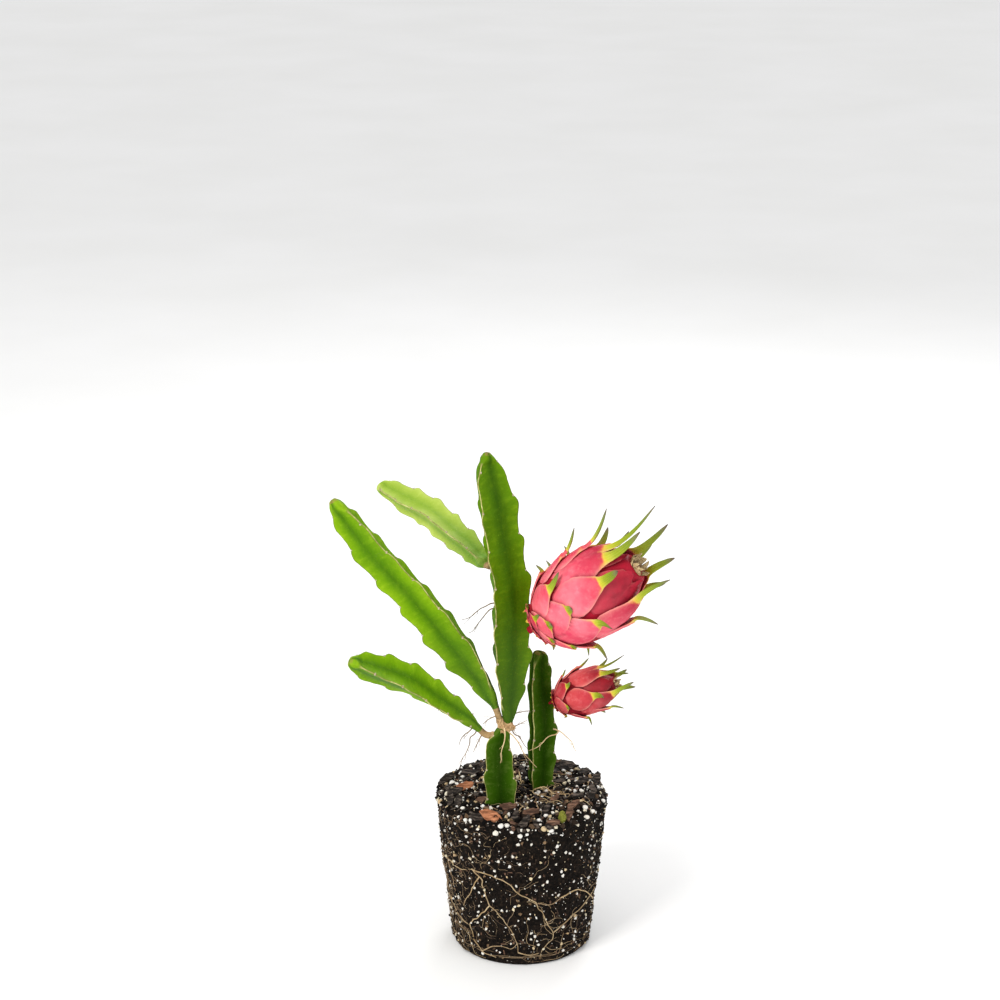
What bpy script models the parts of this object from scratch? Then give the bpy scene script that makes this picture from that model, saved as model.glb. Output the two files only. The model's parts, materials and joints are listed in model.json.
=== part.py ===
"""A dragon fruit cactus in its bare root ball.

Units are metres and +Z is up. The origin is the centre of the root ball's flat base.
The plant's front faces -Y. Two old cuttings stand in the soil, four young shoots grow
from the left one, and two ripe fruits hang on the stems' right margins.
"""

import math
import random

import bmesh
import bpy
from mathutils import Matrix, Vector, noise
from mathutils.bvhtree import BVHTree

MM = 0.001
SEAT = 0.35 * MM  # clearance between a piece and what holds it
FRONT = Vector((0.0, -0.949, 0.316))  # the side that the shoots turn their facing ribs to
SEED = 7

# The root ball, in millimetres: a tapered wall, a crumbled shoulder and a slight mound
BALL_BASE_RADIUS = 60.5
BALL_TOP_RADIUS = 74.0
WALL_HEIGHT = 134.0
BALL_TOP = [(70.5, 138.2), (61.0, 140.6), (47.0, 141.6), (31.0, 142.6), (15.0, 143.0)]  # radius, height
BALL_SIDES = 36
WALL_RINGS = 10
SOIL_BUMPS = ((1.6, 15.0), (1.1, 6.5))  # height and size of the soil's unevenness
CHIP_HALF_THICKNESS = 1.5
CHIP_TILT = 9.0  # degrees at most

# Perlite grains, in millimetres
GRAINS_ON_WALL = 36
GRAINS_ON_TOP = 20
GRAIN_RADII = (1.6, 2.6)
GRAIN_CORNERS = (0.85, 1.25)  # how far a grain's corners stand out, as a share of its radius
GRAIN_SUNK = 0.35  # how deep a grain's centre lies in the soil, as a share of its radius
GRAIN_TO_ROOT = 6.0  # the least distance from a grain's centre to a root's
GRAIN_TO_STEM = 21.0
GRAIN_TO_CHIP = 9.0

# Stems, in millimetres: three wings round a core, with a scalloped margin
WING_EDGE = 1.3  # half the thickness of a wing at its margin
CORE_RADIUS = 3.8  # of the round neck
HUMP_SHARE = 0.16  # of the wing's reach: how far a margin swells between two areoles
WING_ROOT = 0.866  # half a wing's thickness at its foot, as a share of the grooves' distance
FLANK_SHARE = 0.3  # how much of the thickening from margin to foot lies at mid wing
NECK_REACH = 5.0  # the reach under which the three wings have faded into a round neck
NECK_FADE = 7.0  # how much more reach a full wing has
NECK_EDGE = 0.45  # half a margin's thickness on the neck, as a share of the reach
NECK_VALLEY = 0.95  # how far out the grooves lie on the neck, as a share of the reach
HUMP_REACH = 6.0  # the reach over the neck's at which a margin swells in full
RING_STEP = 6.9  # along the stem
SPINE_LENGTH = 2.6
SPINE_ROOT = 1.2  # how deep a spine stands in the margin
SPINE_RADIUS = 0.45
ROOT_RADIUS = 0.6  # of the aerial roots

# Fruit scales, in millimetres
PLATE_RISE = 1.7  # of a plate's middle over the fruit's skin
PLATE_EDGE = 0.3  # how deep a plate's two edges lie under the skin
PLATE_GRIP = 1.4  # how deep its underside lies
PLATE_ROWS = ((0.0, 0.6), (0.6, 1.0), (1.0, 0.52))  # share of the plate's length, of its width
TIP_PLACE = 0.42  # the ring between a plate's end and the free tip's point
TIP_CURVE = 0.35  # how long a tip runs on in its plate's direction, as a share of its length
TIP_WIDTH = 0.34  # half its width there, as a share of the plate's
TIP_THICKNESS = 0.085  # half its thickness there, as a share of the fruit's radius


def vectors(points):
    """The points, given in millimetres, as vectors in metres."""
    return [Vector(point) * MM for point in points]


class Path:
    """A smooth curve through a few chosen points, read by the length along it."""

    PER_SPAN = 12

    def __init__(self, points):
        spans = [(b - a).length for a, b in zip(points, points[1:])]
        slopes = [(b - a) / span for a, b, span in zip(points, points[1:], spans)]
        tangents = [slopes[0]]
        for before, after, left, right in zip(slopes, slopes[1:], spans, spans[1:]):
            tangents.append((before * right + after * left) / (left + right))
        tangents.append(slopes[-1])
        self.points = [points[0]]
        for i, span in enumerate(spans):
            for step in range(1, self.PER_SPAN + 1):
                t = step / self.PER_SPAN
                start = points[i] * (2 * t**3 - 3 * t**2 + 1)
                start += tangents[i] * span * (t**3 - 2 * t**2 + t)
                end = points[i + 1] * (3 * t**2 - 2 * t**3)
                end += tangents[i + 1] * span * (t**3 - t**2)
                self.points.append(start + end)
        self.lengths = [0.0]
        for a, b in zip(self.points, self.points[1:]):
            self.lengths.append(self.lengths[-1] + (b - a).length)
        self.length = self.lengths[-1]

    def at(self, s):
        """The point at length s; past either end the curve runs straight on."""
        i = 0
        while i < len(self.lengths) - 2 and self.lengths[i + 1] < s:
            i += 1
        t = (s - self.lengths[i]) / (self.lengths[i + 1] - self.lengths[i])
        return self.points[i].lerp(self.points[i + 1], t)

    def along(self, s):
        """The direction of the curve at length s."""
        step = 1.5 * MM
        s = min(max(s, step), self.length - step)
        return (self.at(s + step) - self.at(s - step)).normalized()


def between(table, s):
    """The value at s in a short table of (place, value) pairs, straight between the pairs."""
    if s <= table[0][0]:
        return table[0][1]
    for (s0, v0), (s1, v1) in zip(table, table[1:]):
        if s <= s1:
            return v0 + (v1 - v0) * (s - s0) / (s1 - s0)
    return table[-1][1]


def ease(t):
    """A smooth step from 0 to 1."""
    t = min(max(t, 0.0), 1.0)
    return t * t * (3 - 2 * t)


def new_object(name, verts, faces):
    """A mesh object whose faces all point outward."""
    mesh = bpy.data.meshes.new(name)
    mesh.from_pydata(verts, [], faces)
    shape = bmesh.new()
    shape.from_mesh(mesh)
    bmesh.ops.recalc_face_normals(shape, faces=shape.faces)
    shape.to_mesh(mesh)
    shape.free()
    obj = bpy.data.objects.new(name, mesh)
    bpy.context.scene.collection.objects.link(obj)
    return obj


def skin(rings, first=None, last=None):
    """Vertices and faces of a closed tube through the rings, each end fanned to a point."""
    count = len(rings[0])
    verts = [point for ring in rings for point in ring]
    faces = []
    for row in range(len(rings) - 1):
        for k in range(count):
            a = row * count + k
            b = row * count + (k + 1) % count
            faces.append((a, b, b + count, a + count))
    for ring, start, point in ((rings[0], 0, first), (rings[-1], len(verts) - count, last)):
        tip = len(verts)
        verts.append(sum(ring, Vector()) / count if point is None else point)
        faces += [(start + k, start + (k + 1) % count, tip) for k in range(count)]
    return verts, faces


def material(name, colour, roughness):
    """A Principled BSDF material."""
    made = bpy.data.materials.new(name)
    made.use_nodes = True
    shader = made.node_tree.nodes["Principled BSDF"]
    shader.inputs["Base Color"].default_value = (*colour, 1.0)
    shader.inputs["Roughness"].default_value = roughness
    shader.inputs["Metallic"].default_value = 0.0
    return made


def bake(obj):
    """Applies the object's modifiers."""
    graph = bpy.context.evaluated_depsgraph_get()
    mesh = bpy.data.meshes.new_from_object(obj.evaluated_get(graph))
    obj.modifiers.clear()
    obj.data = mesh


def keep_largest(obj):
    """Fills the hollows that joining sealed and drops loose scraps: the largest shell stays."""
    shape = bmesh.new()
    shape.from_mesh(obj.data)
    shells = []
    left = set(shape.verts)
    while left:
        shell = set()
        front = [left.pop()]
        while front:
            vert = front.pop()
            shell.add(vert)
            for edge in vert.link_edges:
                other = edge.other_vert(vert)
                if other in left:
                    left.remove(other)
                    front.append(other)
        shells.append(shell)
    largest = max(shells, key=len)
    bmesh.ops.delete(shape, geom=[v for v in shape.verts if v not in largest], context="VERTS")
    shape.to_mesh(obj.data)
    shape.free()


def join(obj, pieces):
    """Joins the pieces that stand in the object with it, as one closed body."""
    group = bpy.data.collections.new("pieces_to_join")
    bpy.context.scene.collection.children.link(group)
    for piece in pieces:
        bpy.context.scene.collection.objects.unlink(piece)
        group.objects.link(piece)
    modifier = obj.modifiers.new("join", "BOOLEAN")
    modifier.operation = "UNION"
    modifier.operand_type = "COLLECTION"
    modifier.collection = group
    modifier.solver = "MANIFOLD"
    bake(obj)
    keep_largest(obj)
    for piece in pieces:
        bpy.data.objects.remove(piece)
    bpy.data.collections.remove(group)


def cut(obj, cutter):
    """Takes the cutter's volume out of the object, and removes the cutter."""
    modifier = obj.modifiers.new("cut", "BOOLEAN")
    modifier.operation = "DIFFERENCE"
    modifier.object = cutter
    modifier.solver = "MANIFOLD"
    bake(obj)
    keep_largest(obj)
    bpy.data.objects.remove(cutter)


def finish(obj, made):
    """Gives the object its material and smooth shading with sharp edges."""
    obj.data.materials.clear()
    obj.data.materials.append(made)
    obj.data.shade_smooth()
    obj.data.set_sharp_from_angle(angle=math.radians(35))


# Stems

ROOTED = ("left_cutting", "right_cutting")  # the stems that stand in the soil

# Each stem has its middle line, the wings' reach at places along it, the turn of the first
# wing at places along it (0 degrees points to the plant's right, 90 to its front), for each
# of the three wings the place of its first areole and the pitch from one to the next, the
# valley: how far out the grooves between the wings lie, as a share of the reach, and, for
# each wing, the degrees by which it leans from an even spacing.
STEMS = {
    "left_cutting": {
        "line": [(-18.2, -30, 97), (-18.2, -30, 143.6), (-19.1, -30, 167.2), (-19.9, -30, 192.5),
                 (-16.8, -30, 207), (-15.0, -30, 212)],
        "reach": [(0, 10), (25, 14.5), (50, 16.4), (70, 16.6), (95, 13.8), (104, 11.5), (111, 7.5),
                  (116, 5)],
        "turn": [(0, 30)],
        "areoles": [(70, 28), (51, 28), (64, 28)],
        "valley": 0.46,
        "lean": (0, 0, 0),
    },
    "right_cutting": {
        "line": [(14.9, 0, 97), (14.8, 0, 143.8), (14.6, 0, 167.7), (15.4, 0, 196.1), (13.6, 1, 233.2),
                 (13.9, 2, 256.0), (15.3, 2, 268.9)],
        "reach": [(0, 9), (25, 12.5), (47, 14.4), (71, 16.1), (99, 16), (136, 14.3), (159, 11.6),
                  (168, 8), (172, 4.5)],
        "turn": [(0, -8)],
        "areoles": [(50, 27.5), (67, 27.5), (58, 27.5)],
        "valley": 0.46,
        "lean": (0, 0, 0),
    },
    "shoot_tall": {
        "line": [(-11.4, -30, 211.5), (-12.0, -29.8, 221), (-11.8, -28.5, 250), (-12.9, -27, 294.2),
                 (-13.8, -24, 339), (-19.8, -22, 374), (-25.6, -20, 413), (-28.8, -19, 430.1),
                 (-30.2, -18, 454.2)],
        "reach": [(0, 3.4), (5, 3.8), (16, 8.3), (37, 15.9), (61, 21), (83, 22), (203, 21.7), (220, 17.6),
                  (235, 10.8), (244, 2.6)],
        "turn": [(0, -6)],
        "areoles": [(39, 32.8), (30.2, 33.2), (39.6, 32.5)],
        "valley": 0.36,
        "lean": (0, 7, 0),
    },
    "shoot_left": {
        "line": [(-17.5, -30.8, 211.5), (-19.3, -31, 219), (-21.9, -31.2, 228), (-38.6, -33, 261.2),
                 (-68.2, -38, 306.4), (-95, -42, 342), (-122.8, -46, 375.6), (-156.9, -52, 423.7)],
        "reach": [(0, 3.0), (16, 3.0), (22.3, 3.6), (34, 7.9), (52, 12.4), (74, 18.9), (106, 20.6),
                  (150, 18.8), (196, 17.8), (232, 14), (251, 6.6), (257, 2.6)],
        "turn": [(0, 188)],
        "areoles": [(47, 32.8), (51.5, 31.3), (62, 33.2)],
        "valley": 0.36,
        "lean": (0, 3, -12),
    },
    "shoot_low": {
        "line": [(-20.5, -30.5, 206.5), (-24.5, -30.6, 204.6), (-30.2, -31, 205), (-37.8, -33, 212.4),
                 (-45.4, -36, 220.2), (-68.1, -42, 239.3), (-94.6, -50, 260.6), (-119.2, -57, 273.6),
                 (-134.5, -61, 281), (-144.6, -64, 286.5)],
        "reach": [(0, 3.0), (18, 3.0), (25, 4), (33, 6.7), (49, 12.1), (75, 15.8), (101, 18.3),
                  (124, 17.8), (143, 13.4), (157, 2.8)],
        "turn": [(0, -5), (50, -6), (80, -10), (109, -15), (138, -22), (157, -31)],
        "areoles": [(33.5, 23.2), (31, 25.8), (30, 28)],
        "valley": 0.36,
        "lean": (0, 0, 0),
    },
    "shoot_upper": {
        "line": [(-27.9, -8.1, 349.7), (-30.2, -5.2, 349.8), (-34.7, -1.5, 352.9), (-41.5, 3.2, 358.6),
                 (-63.4, 22, 371.8), (-81, 42, 380), (-99.6, 60, 384.4), (-123.7, 80, 392.5)],
        "reach": [(0, 2.6), (4, 3), (8, 7), (13, 10.5), (21, 13), (34, 15), (59, 16.9), (84, 16.9),
                  (110, 16.3), (132, 10.7), (142.5, 2.6)],
        "turn": [(0, -25), (71, -20), (142, -14)],
        "areoles": [(16.5, 23.3), (23.5, 21.3), (27.4, 23.4)],
        "valley": 0.34,
        "lean": (0, 0, 0),
    },
}


def stem_axes(path, s):
    """The stem's direction, its right and its front at length s."""
    ahead = path.along(s)
    front = (FRONT - ahead * FRONT.dot(ahead)).normalized()
    return ahead, ahead.cross(front), front


def areole_places(stem, wing, length):
    """Where along the stem this wing has its areoles, in millimetres."""
    first, pitch = stem["areoles"][wing]
    places = []
    s = first
    while s < length - 4:
        if between(stem["reach"], s) > 6:
            places.append(s)
        s += pitch
    return places


def wing_reach(stem, wing, s):
    """The reach of a wing's scalloped margin at place s, in millimetres.

    The margin swells slowly from each areole and falls steeply to the next one.
    """
    first, pitch = stem["areoles"][wing]
    whole = between(stem["reach"], s)
    hump = math.sin(math.pi * (((s - first) / pitch) % 1.0) ** 3)
    return whole * (1 - HUMP_SHARE * ease((whole - NECK_REACH) / HUMP_REACH) * (1 - hump))


def wing_turn(stem, wing, s):
    """The angle of a wing round the stem at place s, in degrees; wing 0.5 is a groove."""
    lean = (stem["lean"][int(wing) % 3] + stem["lean"][int(wing + 0.5) % 3]) / 2
    return between(stem["turn"], s) + 120 * wing + lean


def wing_axis(stem, wing, path, s):
    """The direction of a wing away from the stem's middle line at place s."""
    angle = math.radians(wing_turn(stem, wing, s))
    _, right, front = stem_axes(path, s * MM)
    return right * math.cos(angle) + front * math.sin(angle)


def wing_half(whole, valley):
    """Half a wing's thickness at its margin and at its flank, from its whole reach, in millimetres."""
    neck = 1 - ease((whole - NECK_REACH) / NECK_FADE)
    edge = WING_EDGE + max(NECK_EDGE * whole - WING_EDGE, 0) * neck
    return edge, edge + (WING_ROOT * valley - edge) * FLANK_SHARE


def stem_ring(stem, path, s, grow):
    """The section of a stem at place s: five points for each wing, in order round it."""
    centre = path.at(s * MM)
    ahead = path.along(s * MM)
    whole = between(stem["reach"], s)
    valley = max(stem["valley"] * whole, min(NECK_VALLEY * whole, CORE_RADIUS))
    edge, half = wing_half(whole, valley)
    ring = []
    for wing in range(3):
        out = wing_axis(stem, wing, path, s)
        side = out.cross(ahead)
        reach = wing_reach(stem, wing, s)
        flank = 0.5 * (reach + 0.5 * valley)
        for far, wide in ((flank, -half), (reach, -edge), (reach, edge), (flank, half)):
            ring.append(centre + (out * (far + grow) + side * (wide + math.copysign(grow, wide))) * MM)
        ring.append(centre + wing_axis(stem, wing + 0.5, path, s) * (valley + grow) * MM)
    return ring


def stem_object(name, grow=0.0):
    """The loft of a stem, larger all round by the given millimetres."""
    stem = STEMS[name]
    path = Path(vectors(stem["line"]))
    length = path.length / MM
    count = round(length / RING_STEP)
    places = [length * k / count for k in range(count + 1)]
    rings = [stem_ring(stem, path, s, grow) for s in places]
    if grow:
        rings = [[p - path.along(0) * grow * MM for p in rings[0]]] + rings
        rings.append([p + path.along(path.length) * grow * MM for p in rings[-1]])
    return new_object(name, *skin(rings))


def spine(root, tip, radius):
    """A three-sided spine from its root to its point."""
    ahead = (tip - root).normalized()
    side = ahead.orthogonal().normalized()
    ring = [root + Matrix.Rotation(math.tau * k / 3, 3, ahead) @ side * radius for k in range(3)]
    return new_object("spine", ring + [tip], [(0, 1, 2), (0, 1, 3), (1, 2, 3), (2, 0, 3)])


def stem_spines(name, grow=0.0):
    """A short spine on each areole, leaning to one side and the other in turn."""
    stem = STEMS[name]
    path = Path(vectors(stem["line"]))
    spines = []
    for wing in range(3):
        for number, s in enumerate(areole_places(stem, wing, path.length / MM)):
            ahead, _, _ = stem_axes(path, s * MM)
            out = wing_axis(stem, wing, path, s)
            side = ahead.cross(out)
            lean = 0.5 if number % 2 else -0.5
            root = path.at(s * MM) + out * (wing_reach(stem, wing, s) - SPINE_ROOT) * MM
            away = (out + side * lean + ahead * 0.4).normalized()
            tip = root + away * (SPINE_LENGTH + SPINE_ROOT + 2 * grow) * MM
            spines.append(spine(root, tip, (SPINE_RADIUS + 2 * grow) * MM))
    return spines


def tube(points, radius, sides=3, taper=0.35, step=6.0):
    """A thin root along a smooth curve through the points, its radius given in millimetres."""
    path = Path(points)
    count = max(2, round(path.length / MM / step))
    rings = []
    side = path.along(0).orthogonal().normalized()
    for k in range(count + 1):
        s = path.length * k / count
        ahead = path.along(s)
        side = (side - ahead * side.dot(ahead)).normalized()
        width = radius * (1 - taper * k / count) * MM
        rings.append([path.at(s) + Matrix.Rotation(math.tau * j / sides, 3, ahead) @ side * width
                      for j in range(sides)])
    return new_object("root", *skin(rings))


# Aerial roots, by the stem that they grow from: points in millimetres, root to tip
AERIAL_ROOTS = {
    "left_cutting": [
        [(-12.5, -31, 214.2), (-8.2, -31.5, 209.7), (-1.3, -29, 200.1), (4.9, -26, 189.5)],
        [(-13.5, -32.5, 212.5), (-9.0, -34.5, 207.4), (-4.5, -34, 200.6), (0.2, -32, 190.6),
         (6.4, -29, 180.8), (12.2, -26, 172.2)],
        [(-11.5, -29, 211), (-4.5, -27.5, 212.4), (-0.2, -26, 214.4), (4.0, -24.5, 215.7)],
        [(-15.4, -35, 213.5), (-15.2, -38.5, 209.5), (-15.8, -40.5, 202.9), (-18.2, -41.5, 191.8),
         (-18.4, -41.5, 183.4)],
    ],
    "right_cutting": [
        [(28.5, -2, 197.9), (31.5, -6.5, 197.6), (23.5, -13, 195.4), (15.8, -19, 190.8),
         (9.5, -21.5, 187.2), (5.7, -21.5, 186.8)],
        [(27, -1, 197.5), (33.0, -1, 195.2), (38.4, -2, 191.0), (43.0, -3, 185.6), (46.2, -4, 177.6)],
        [(11.2, -12, 145.4), (12.9, -16.5, 148.4), (15.9, -19, 151), (19.7, -20.5, 151.4),
         (23.6, -21.5, 148.8), (27.0, -22.5, 145.4)],
    ],
    "shoot_tall": [
        [(-22.5, -9.5, 317.4), (-27.7, -8, 315.7), (-37.9, -10, 310.7), (-43.8, -12, 305.8),
         (-51.5, -14, 303.9)],
        [(-22.5, -9.5, 312.8), (-28.1, -8, 311), (-34, -10, 303.4), (-37.9, -12, 299),
         (-46.3, -14, 290.4)],
        [(-9.5, -29.5, 222.6), (-3.9, -28, 224.3), (-0.1, -26.5, 224.6), (6, -23.5, 224)],
    ],
    "shoot_left": [
        [(-20.3, -31.3, 223.3), (-24.3, -32.5, 222.8), (-30.1, -35, 220.8), (-33.6, -37, 217.2)],
    ],
    "shoot_low": [
        [(-41.5, -34.5, 215.5), (-43.9, -36, 211.7), (-51.6, -39, 206), (-53.6, -40, 199.8)],
        [(-38.5, -33.5, 212), (-40.6, -33, 208.5), (-44.1, -34, 202.3), (-46.4, -35, 194.3),
         (-50.2, -36, 186.1), (-52.9, -38, 180.4)],
        [(-33.5, -31.7, 207.5), (-36.1, -31.5, 202), (-39.6, -32, 195.2), (-41.8, -33, 189)],
    ],
    "shoot_upper": [],
}


# Fruits

# The body's outline is in (share of the length, share of the largest radius). A fruit has its
# stem end, its navel and its largest radius in millimetres, its stub as a share of its length,
# and its scales. A scale has the angle where it stands (0 degrees up, 90 to the front), the
# start and the end of its plate as shares of the fruit's length, half the plate's width, and
# the place of its free tip: share of the length, distance from the axis, turn from the plate.
BODY_PROFILE = [(0.0, 0.2), (0.05, 0.42), (0.14, 0.7), (0.27, 0.9), (0.42, 1.0), (0.56, 0.98),
                (0.7, 0.88), (0.82, 0.7), (0.92, 0.47), (1.0, 0.3)]
CRATER_FLOOR = 0.93
CRATER = [(0.985, 0.2), (CRATER_FLOOR, 0.16)]
BODY_SIDES = 18
REMNANT_OUTLINE = [(0.0, 0.11), (0.035, 0.12), (0.07, 0.15), (0.11, 0.21), (0.135, 0.2), (0.1, 0.12),
                   (0.075, 0.06)]
REMNANT_TEETH = 0.025
REMNANT_SIDES = 12
FRUITS = {
    "large_fruit": {
        "base": (10.4, -27, 302.4),
        "navel": (94.4, -50.6, 365.2),
        "radius": 36.8,
        "stub": 0.06,
        "scales": [
            (80, 0.32, 0.74, 18, 0.93, 40, 0),
            (124, 0.18, 0.52, 17, 0.73, 55.4, 0),
            (41, 0.42, 0.8, 19, 1.25, 32.2, 0),
            (12, 0.46, 0.8, 17, 1.42, 36.5, 0),
            (-22, 0.5, 0.84, 14, 1.06, 30.5, 0),
            (2, 0.38, 0.64, 17, 1.05, 54.3, 0),
            (8, 0.26, 0.48, 15, 0.76, 55.4, 0),
            (-24, 0.27, 0.48, 13, 0.5, 50.1, 0),
            (-2, 0.1, 0.29, 13, 0.28, 44.9, 0),
            (56, 0.14, 0.37, 14, 0.54, 42.6, -12),
            (-48, 0.6, 0.97, 15, 1.34, 24.4, 0),
            (236, 0.6, 0.96, 14, 1.25, 19, 0),
            (155, 0.44, 0.82, 18, 1.23, 26.3, -8),
            (186, 0.38, 0.67, 14, 0.88, 51.2, 0),
            (180, 0.14, 0.33, 14, 0.38, 54.6, 0),
            (196, 0.08, 0.25, 12, 0.21, 47.4, 0),
            (163, 0.02, 0.08, 9, 0.06, 26.1, 0),
            (75, 0.03, 0.14, 9, 0.22, 33, 0),
            (30, 0.02, 0.08, 8, 0.09, 24, 0),
            (122, 0.03, 0.16, 10, 0.2, 34, 0),
            (97, 0.6, 0.95, 16, 1, 14, 0),
            (30, 0.68, 0.95, 10, 1.02, 15, 0),
            (138, 0.68, 0.95, 11, 1.02, 15, 0),
            (232, 0.2, 0.45, 16, 0.52, 50, 0),
            (262, 0.34, 0.62, 17, 0.8, 48, 0),
            (300, 0.2, 0.46, 16, 0.5, 50, 0),
            (322, 0.36, 0.66, 16, 0.86, 50, 0),
            (285, 0.48, 0.82, 17, 1.1, 38, 0),
            (222, 0.5, 0.8, 16, 1.05, 34, 0),
            (250, 0.05, 0.22, 12, 0.22, 40, 0),
            (340, 0.12, 0.32, 12, 0.32, 46, 0),
        ],
    },
    "small_fruit": {
        "base": (27.2, 0, 222.8),
        "navel": (80.2, -14, 245.9),
        "radius": 19.5,
        "stub": 0.09,
        "scales": [
            (100, 0.3, 0.66, 10.5, 0.88, 33.4, 0),
            (35, 0.4, 0.8, 10, 1.19, 14.4, 0),
            (130, 0.44, 0.88, 10, 1.3, 6, -12),
            (5, 0.36, 0.76, 10, 1.27, 21.2, 0),
            (-12, 0.2, 0.46, 9, 0.7, 27.6, 0),
            (8, 0.06, 0.26, 8, 0.36, 24.7, 0),
            (60, 0.1, 0.36, 8, 0.49, 27.9, 0),
            (178, 0.44, 0.76, 9, 1.01, 22.8, 0),
            (170, 0.2, 0.44, 8, 0.48, 29.4, 0),
            (165, 0.02, 0.14, 7, 0.1, 17.4, 0),
            (110, 0.06, 0.28, 8, 0.34, 23, 0),
            (-40, 0.6, 0.97, 8, 1.22, 6, 0),
            (75, 0.6, 0.95, 9, 1.02, 9, 0),
            (215, 0.22, 0.5, 9, 0.62, 29, 0),
            (255, 0.36, 0.68, 9, 0.9, 26, 0),
            (295, 0.2, 0.48, 9, 0.6, 28, 0),
            (325, 0.38, 0.7, 9, 0.92, 26, 0),
            (235, 0.56, 0.9, 9, 1.2, 16, 0),
            (300, 0.58, 0.92, 9, 1.16, 15, 0),
        ],
    },
}


class FruitFrame:
    """A fruit's axis and the directions round it."""

    def __init__(self, fruit):
        self.base, self.navel = vectors([fruit["base"], fruit["navel"]])
        self.length = (self.navel - self.base).length
        self.axis = (self.navel - self.base).normalized()
        self.front = (FRONT - self.axis * FRONT.dot(self.axis)).normalized()
        self.up = self.front.cross(self.axis)
        self.radius = fruit["radius"] * MM

    def out(self, angle):
        """The direction away from the axis at an angle in degrees."""
        return self.up * math.cos(math.radians(angle)) + self.front * math.sin(math.radians(angle))

    def point(self, share, angle, far):
        """The point at a share of the length, an angle and a distance from the axis."""
        return self.base + self.axis * self.length * share + self.out(angle) * far

    def skin_radius(self, share):
        """The body's radius at a share of the length."""
        return between(BODY_PROFILE, share) * self.radius


def fruit_body(name):
    """The turned body with its crater at the navel and a short stub at the stem end."""
    frame = FruitFrame(FRUITS[name])
    outline = [(-FRUITS[name]["stub"], 0.11), (-0.005, 0.12)] + BODY_PROFILE + CRATER
    rings = [[frame.point(share, 360 * k / BODY_SIDES, far * frame.radius) for k in range(BODY_SIDES)]
             for share, far in outline]
    return new_object(name, *skin(rings))


def fruit_scale(frame, angle, start, end, width, tip_share, tip_far, turn):
    """A scale: a plate that lies on the body, then a tapering free tip that leaves it."""
    rings = []
    for share, wide in PLATE_ROWS:
        place = start + (end - start) * share
        far = frame.skin_radius(place)
        spread = math.degrees(wide * width * MM / far)
        rings.append([frame.point(place, angle - spread, far - PLATE_EDGE * MM),
                      frame.point(place, angle, far + PLATE_RISE * MM),
                      frame.point(place, angle + spread, far - PLATE_EDGE * MM),
                      frame.point(place, angle, far - PLATE_GRIP * MM)])
    inner = end - 0.06
    before = frame.point(inner, angle, frame.skin_radius(inner))
    leave = frame.point(end, angle, frame.skin_radius(end))
    tip = frame.point(tip_share, angle + turn, tip_far * MM)
    bend = leave + (leave - before).normalized() * (tip - leave).length * TIP_CURVE
    a = leave.lerp(bend, TIP_PLACE)
    b = bend.lerp(tip, TIP_PLACE)
    centre = a.lerp(b, TIP_PLACE)
    ahead = (b - a).normalized()
    side = frame.axis.cross(frame.out(angle)) * TIP_WIDTH * width * MM
    lift = side.cross(ahead).normalized() * TIP_THICKNESS * frame.radius
    rings.append([centre - side, centre + lift, centre + side, centre - lift])
    return new_object("scale", *skin(rings, last=tip))


def fruit_object(name, carrier):
    """A fruit with its scales, its stem end cut to sit against the stem that carries it."""
    frame = FruitFrame(FRUITS[name])
    body = fruit_body(name)
    join(body, [fruit_scale(frame, *scale) for scale in FRUITS[name]["scales"]])
    cutter = stem_object(carrier, grow=SEAT / MM)
    join(cutter, stem_spines(carrier, grow=SEAT / MM))
    cut(body, cutter)
    return body


def remnant_object(name, fruit_name):
    """The dried flower in a fruit's crater: a withered cup with a ragged rim."""
    frame = FruitFrame(FRUITS[fruit_name])
    rings = []
    for share, far in REMNANT_OUTLINE:
        ring = []
        for k in range(REMNANT_SIDES):
            ragged = REMNANT_TEETH * (k % 2) * ease((share - 0.06) / 0.05)
            place = CRATER_FLOOR + SEAT / frame.length + share + ragged
            ring.append(frame.point(place, 360 * k / REMNANT_SIDES, far * frame.radius))
        rings.append(ring)
    return new_object(name, *skin(rings))


# The root ball

# Roots on the wall: (degrees from the front toward the right, height in millimetres)
WALL_ROOTS = [
    [(-38, 90), (-25, 89), (-12, 84), (-2, 73), (10, 64), (15, 52), (21, 38), (25, 31), (25, 25),
     (16, 13), (15, 7)],
    [(-38, 90), (-32, 85), (-28, 70), (-25, 58), (-19, 52), (-14, 46), (-9, 36), (-4, 23), (-3, 13)],
    [(-66, 87), (-52, 85), (-38, 90)],
    [(-66, 87), (-61, 64), (-56, 51)],
    [(-32, 85), (-43, 63), (-51, 48)],
    [(-25, 58), (-34, 45), (-45, 32), (-42, 19), (-34, 10), (-22, 6)],
    [(-34, 10), (-19, 19), (-6, 18), (-4, 23)],
    [(-3, 13), (11, 11), (16, 13)],
    [(10, 64), (22, 60), (30, 65)],
]
WALKS = [((30, 65), 1), ((-66, 87), -1), ((25, 31), 1), ((-45, 32), -1)]
WALK_STEPS = 14
WALL_ROOT_RADIUS = 0.75
OFF_SOIL = 0.5  # the gap between a root's underside and the soil

# Roots on the top: (x, y) in millimetres
TOP_ROOTS = [
    [(-3, 36), (-1, 14), (0, 0), (5, -11), (13, -20), (22, -25), (32, -31)],
    [(13, -20), (12, -28), (13, -38), (17, -55)],
    [(-6, -52), (3, -38), (7, -27), (13, -20)],
    [(13, -20), (25, -20), (36, -17), (46, -18)],
    [(-1, 14), (-6, 9), (-14, 6), (-22, -2)],
]
TOP_ROOT_RADIUS = 0.5

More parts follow.
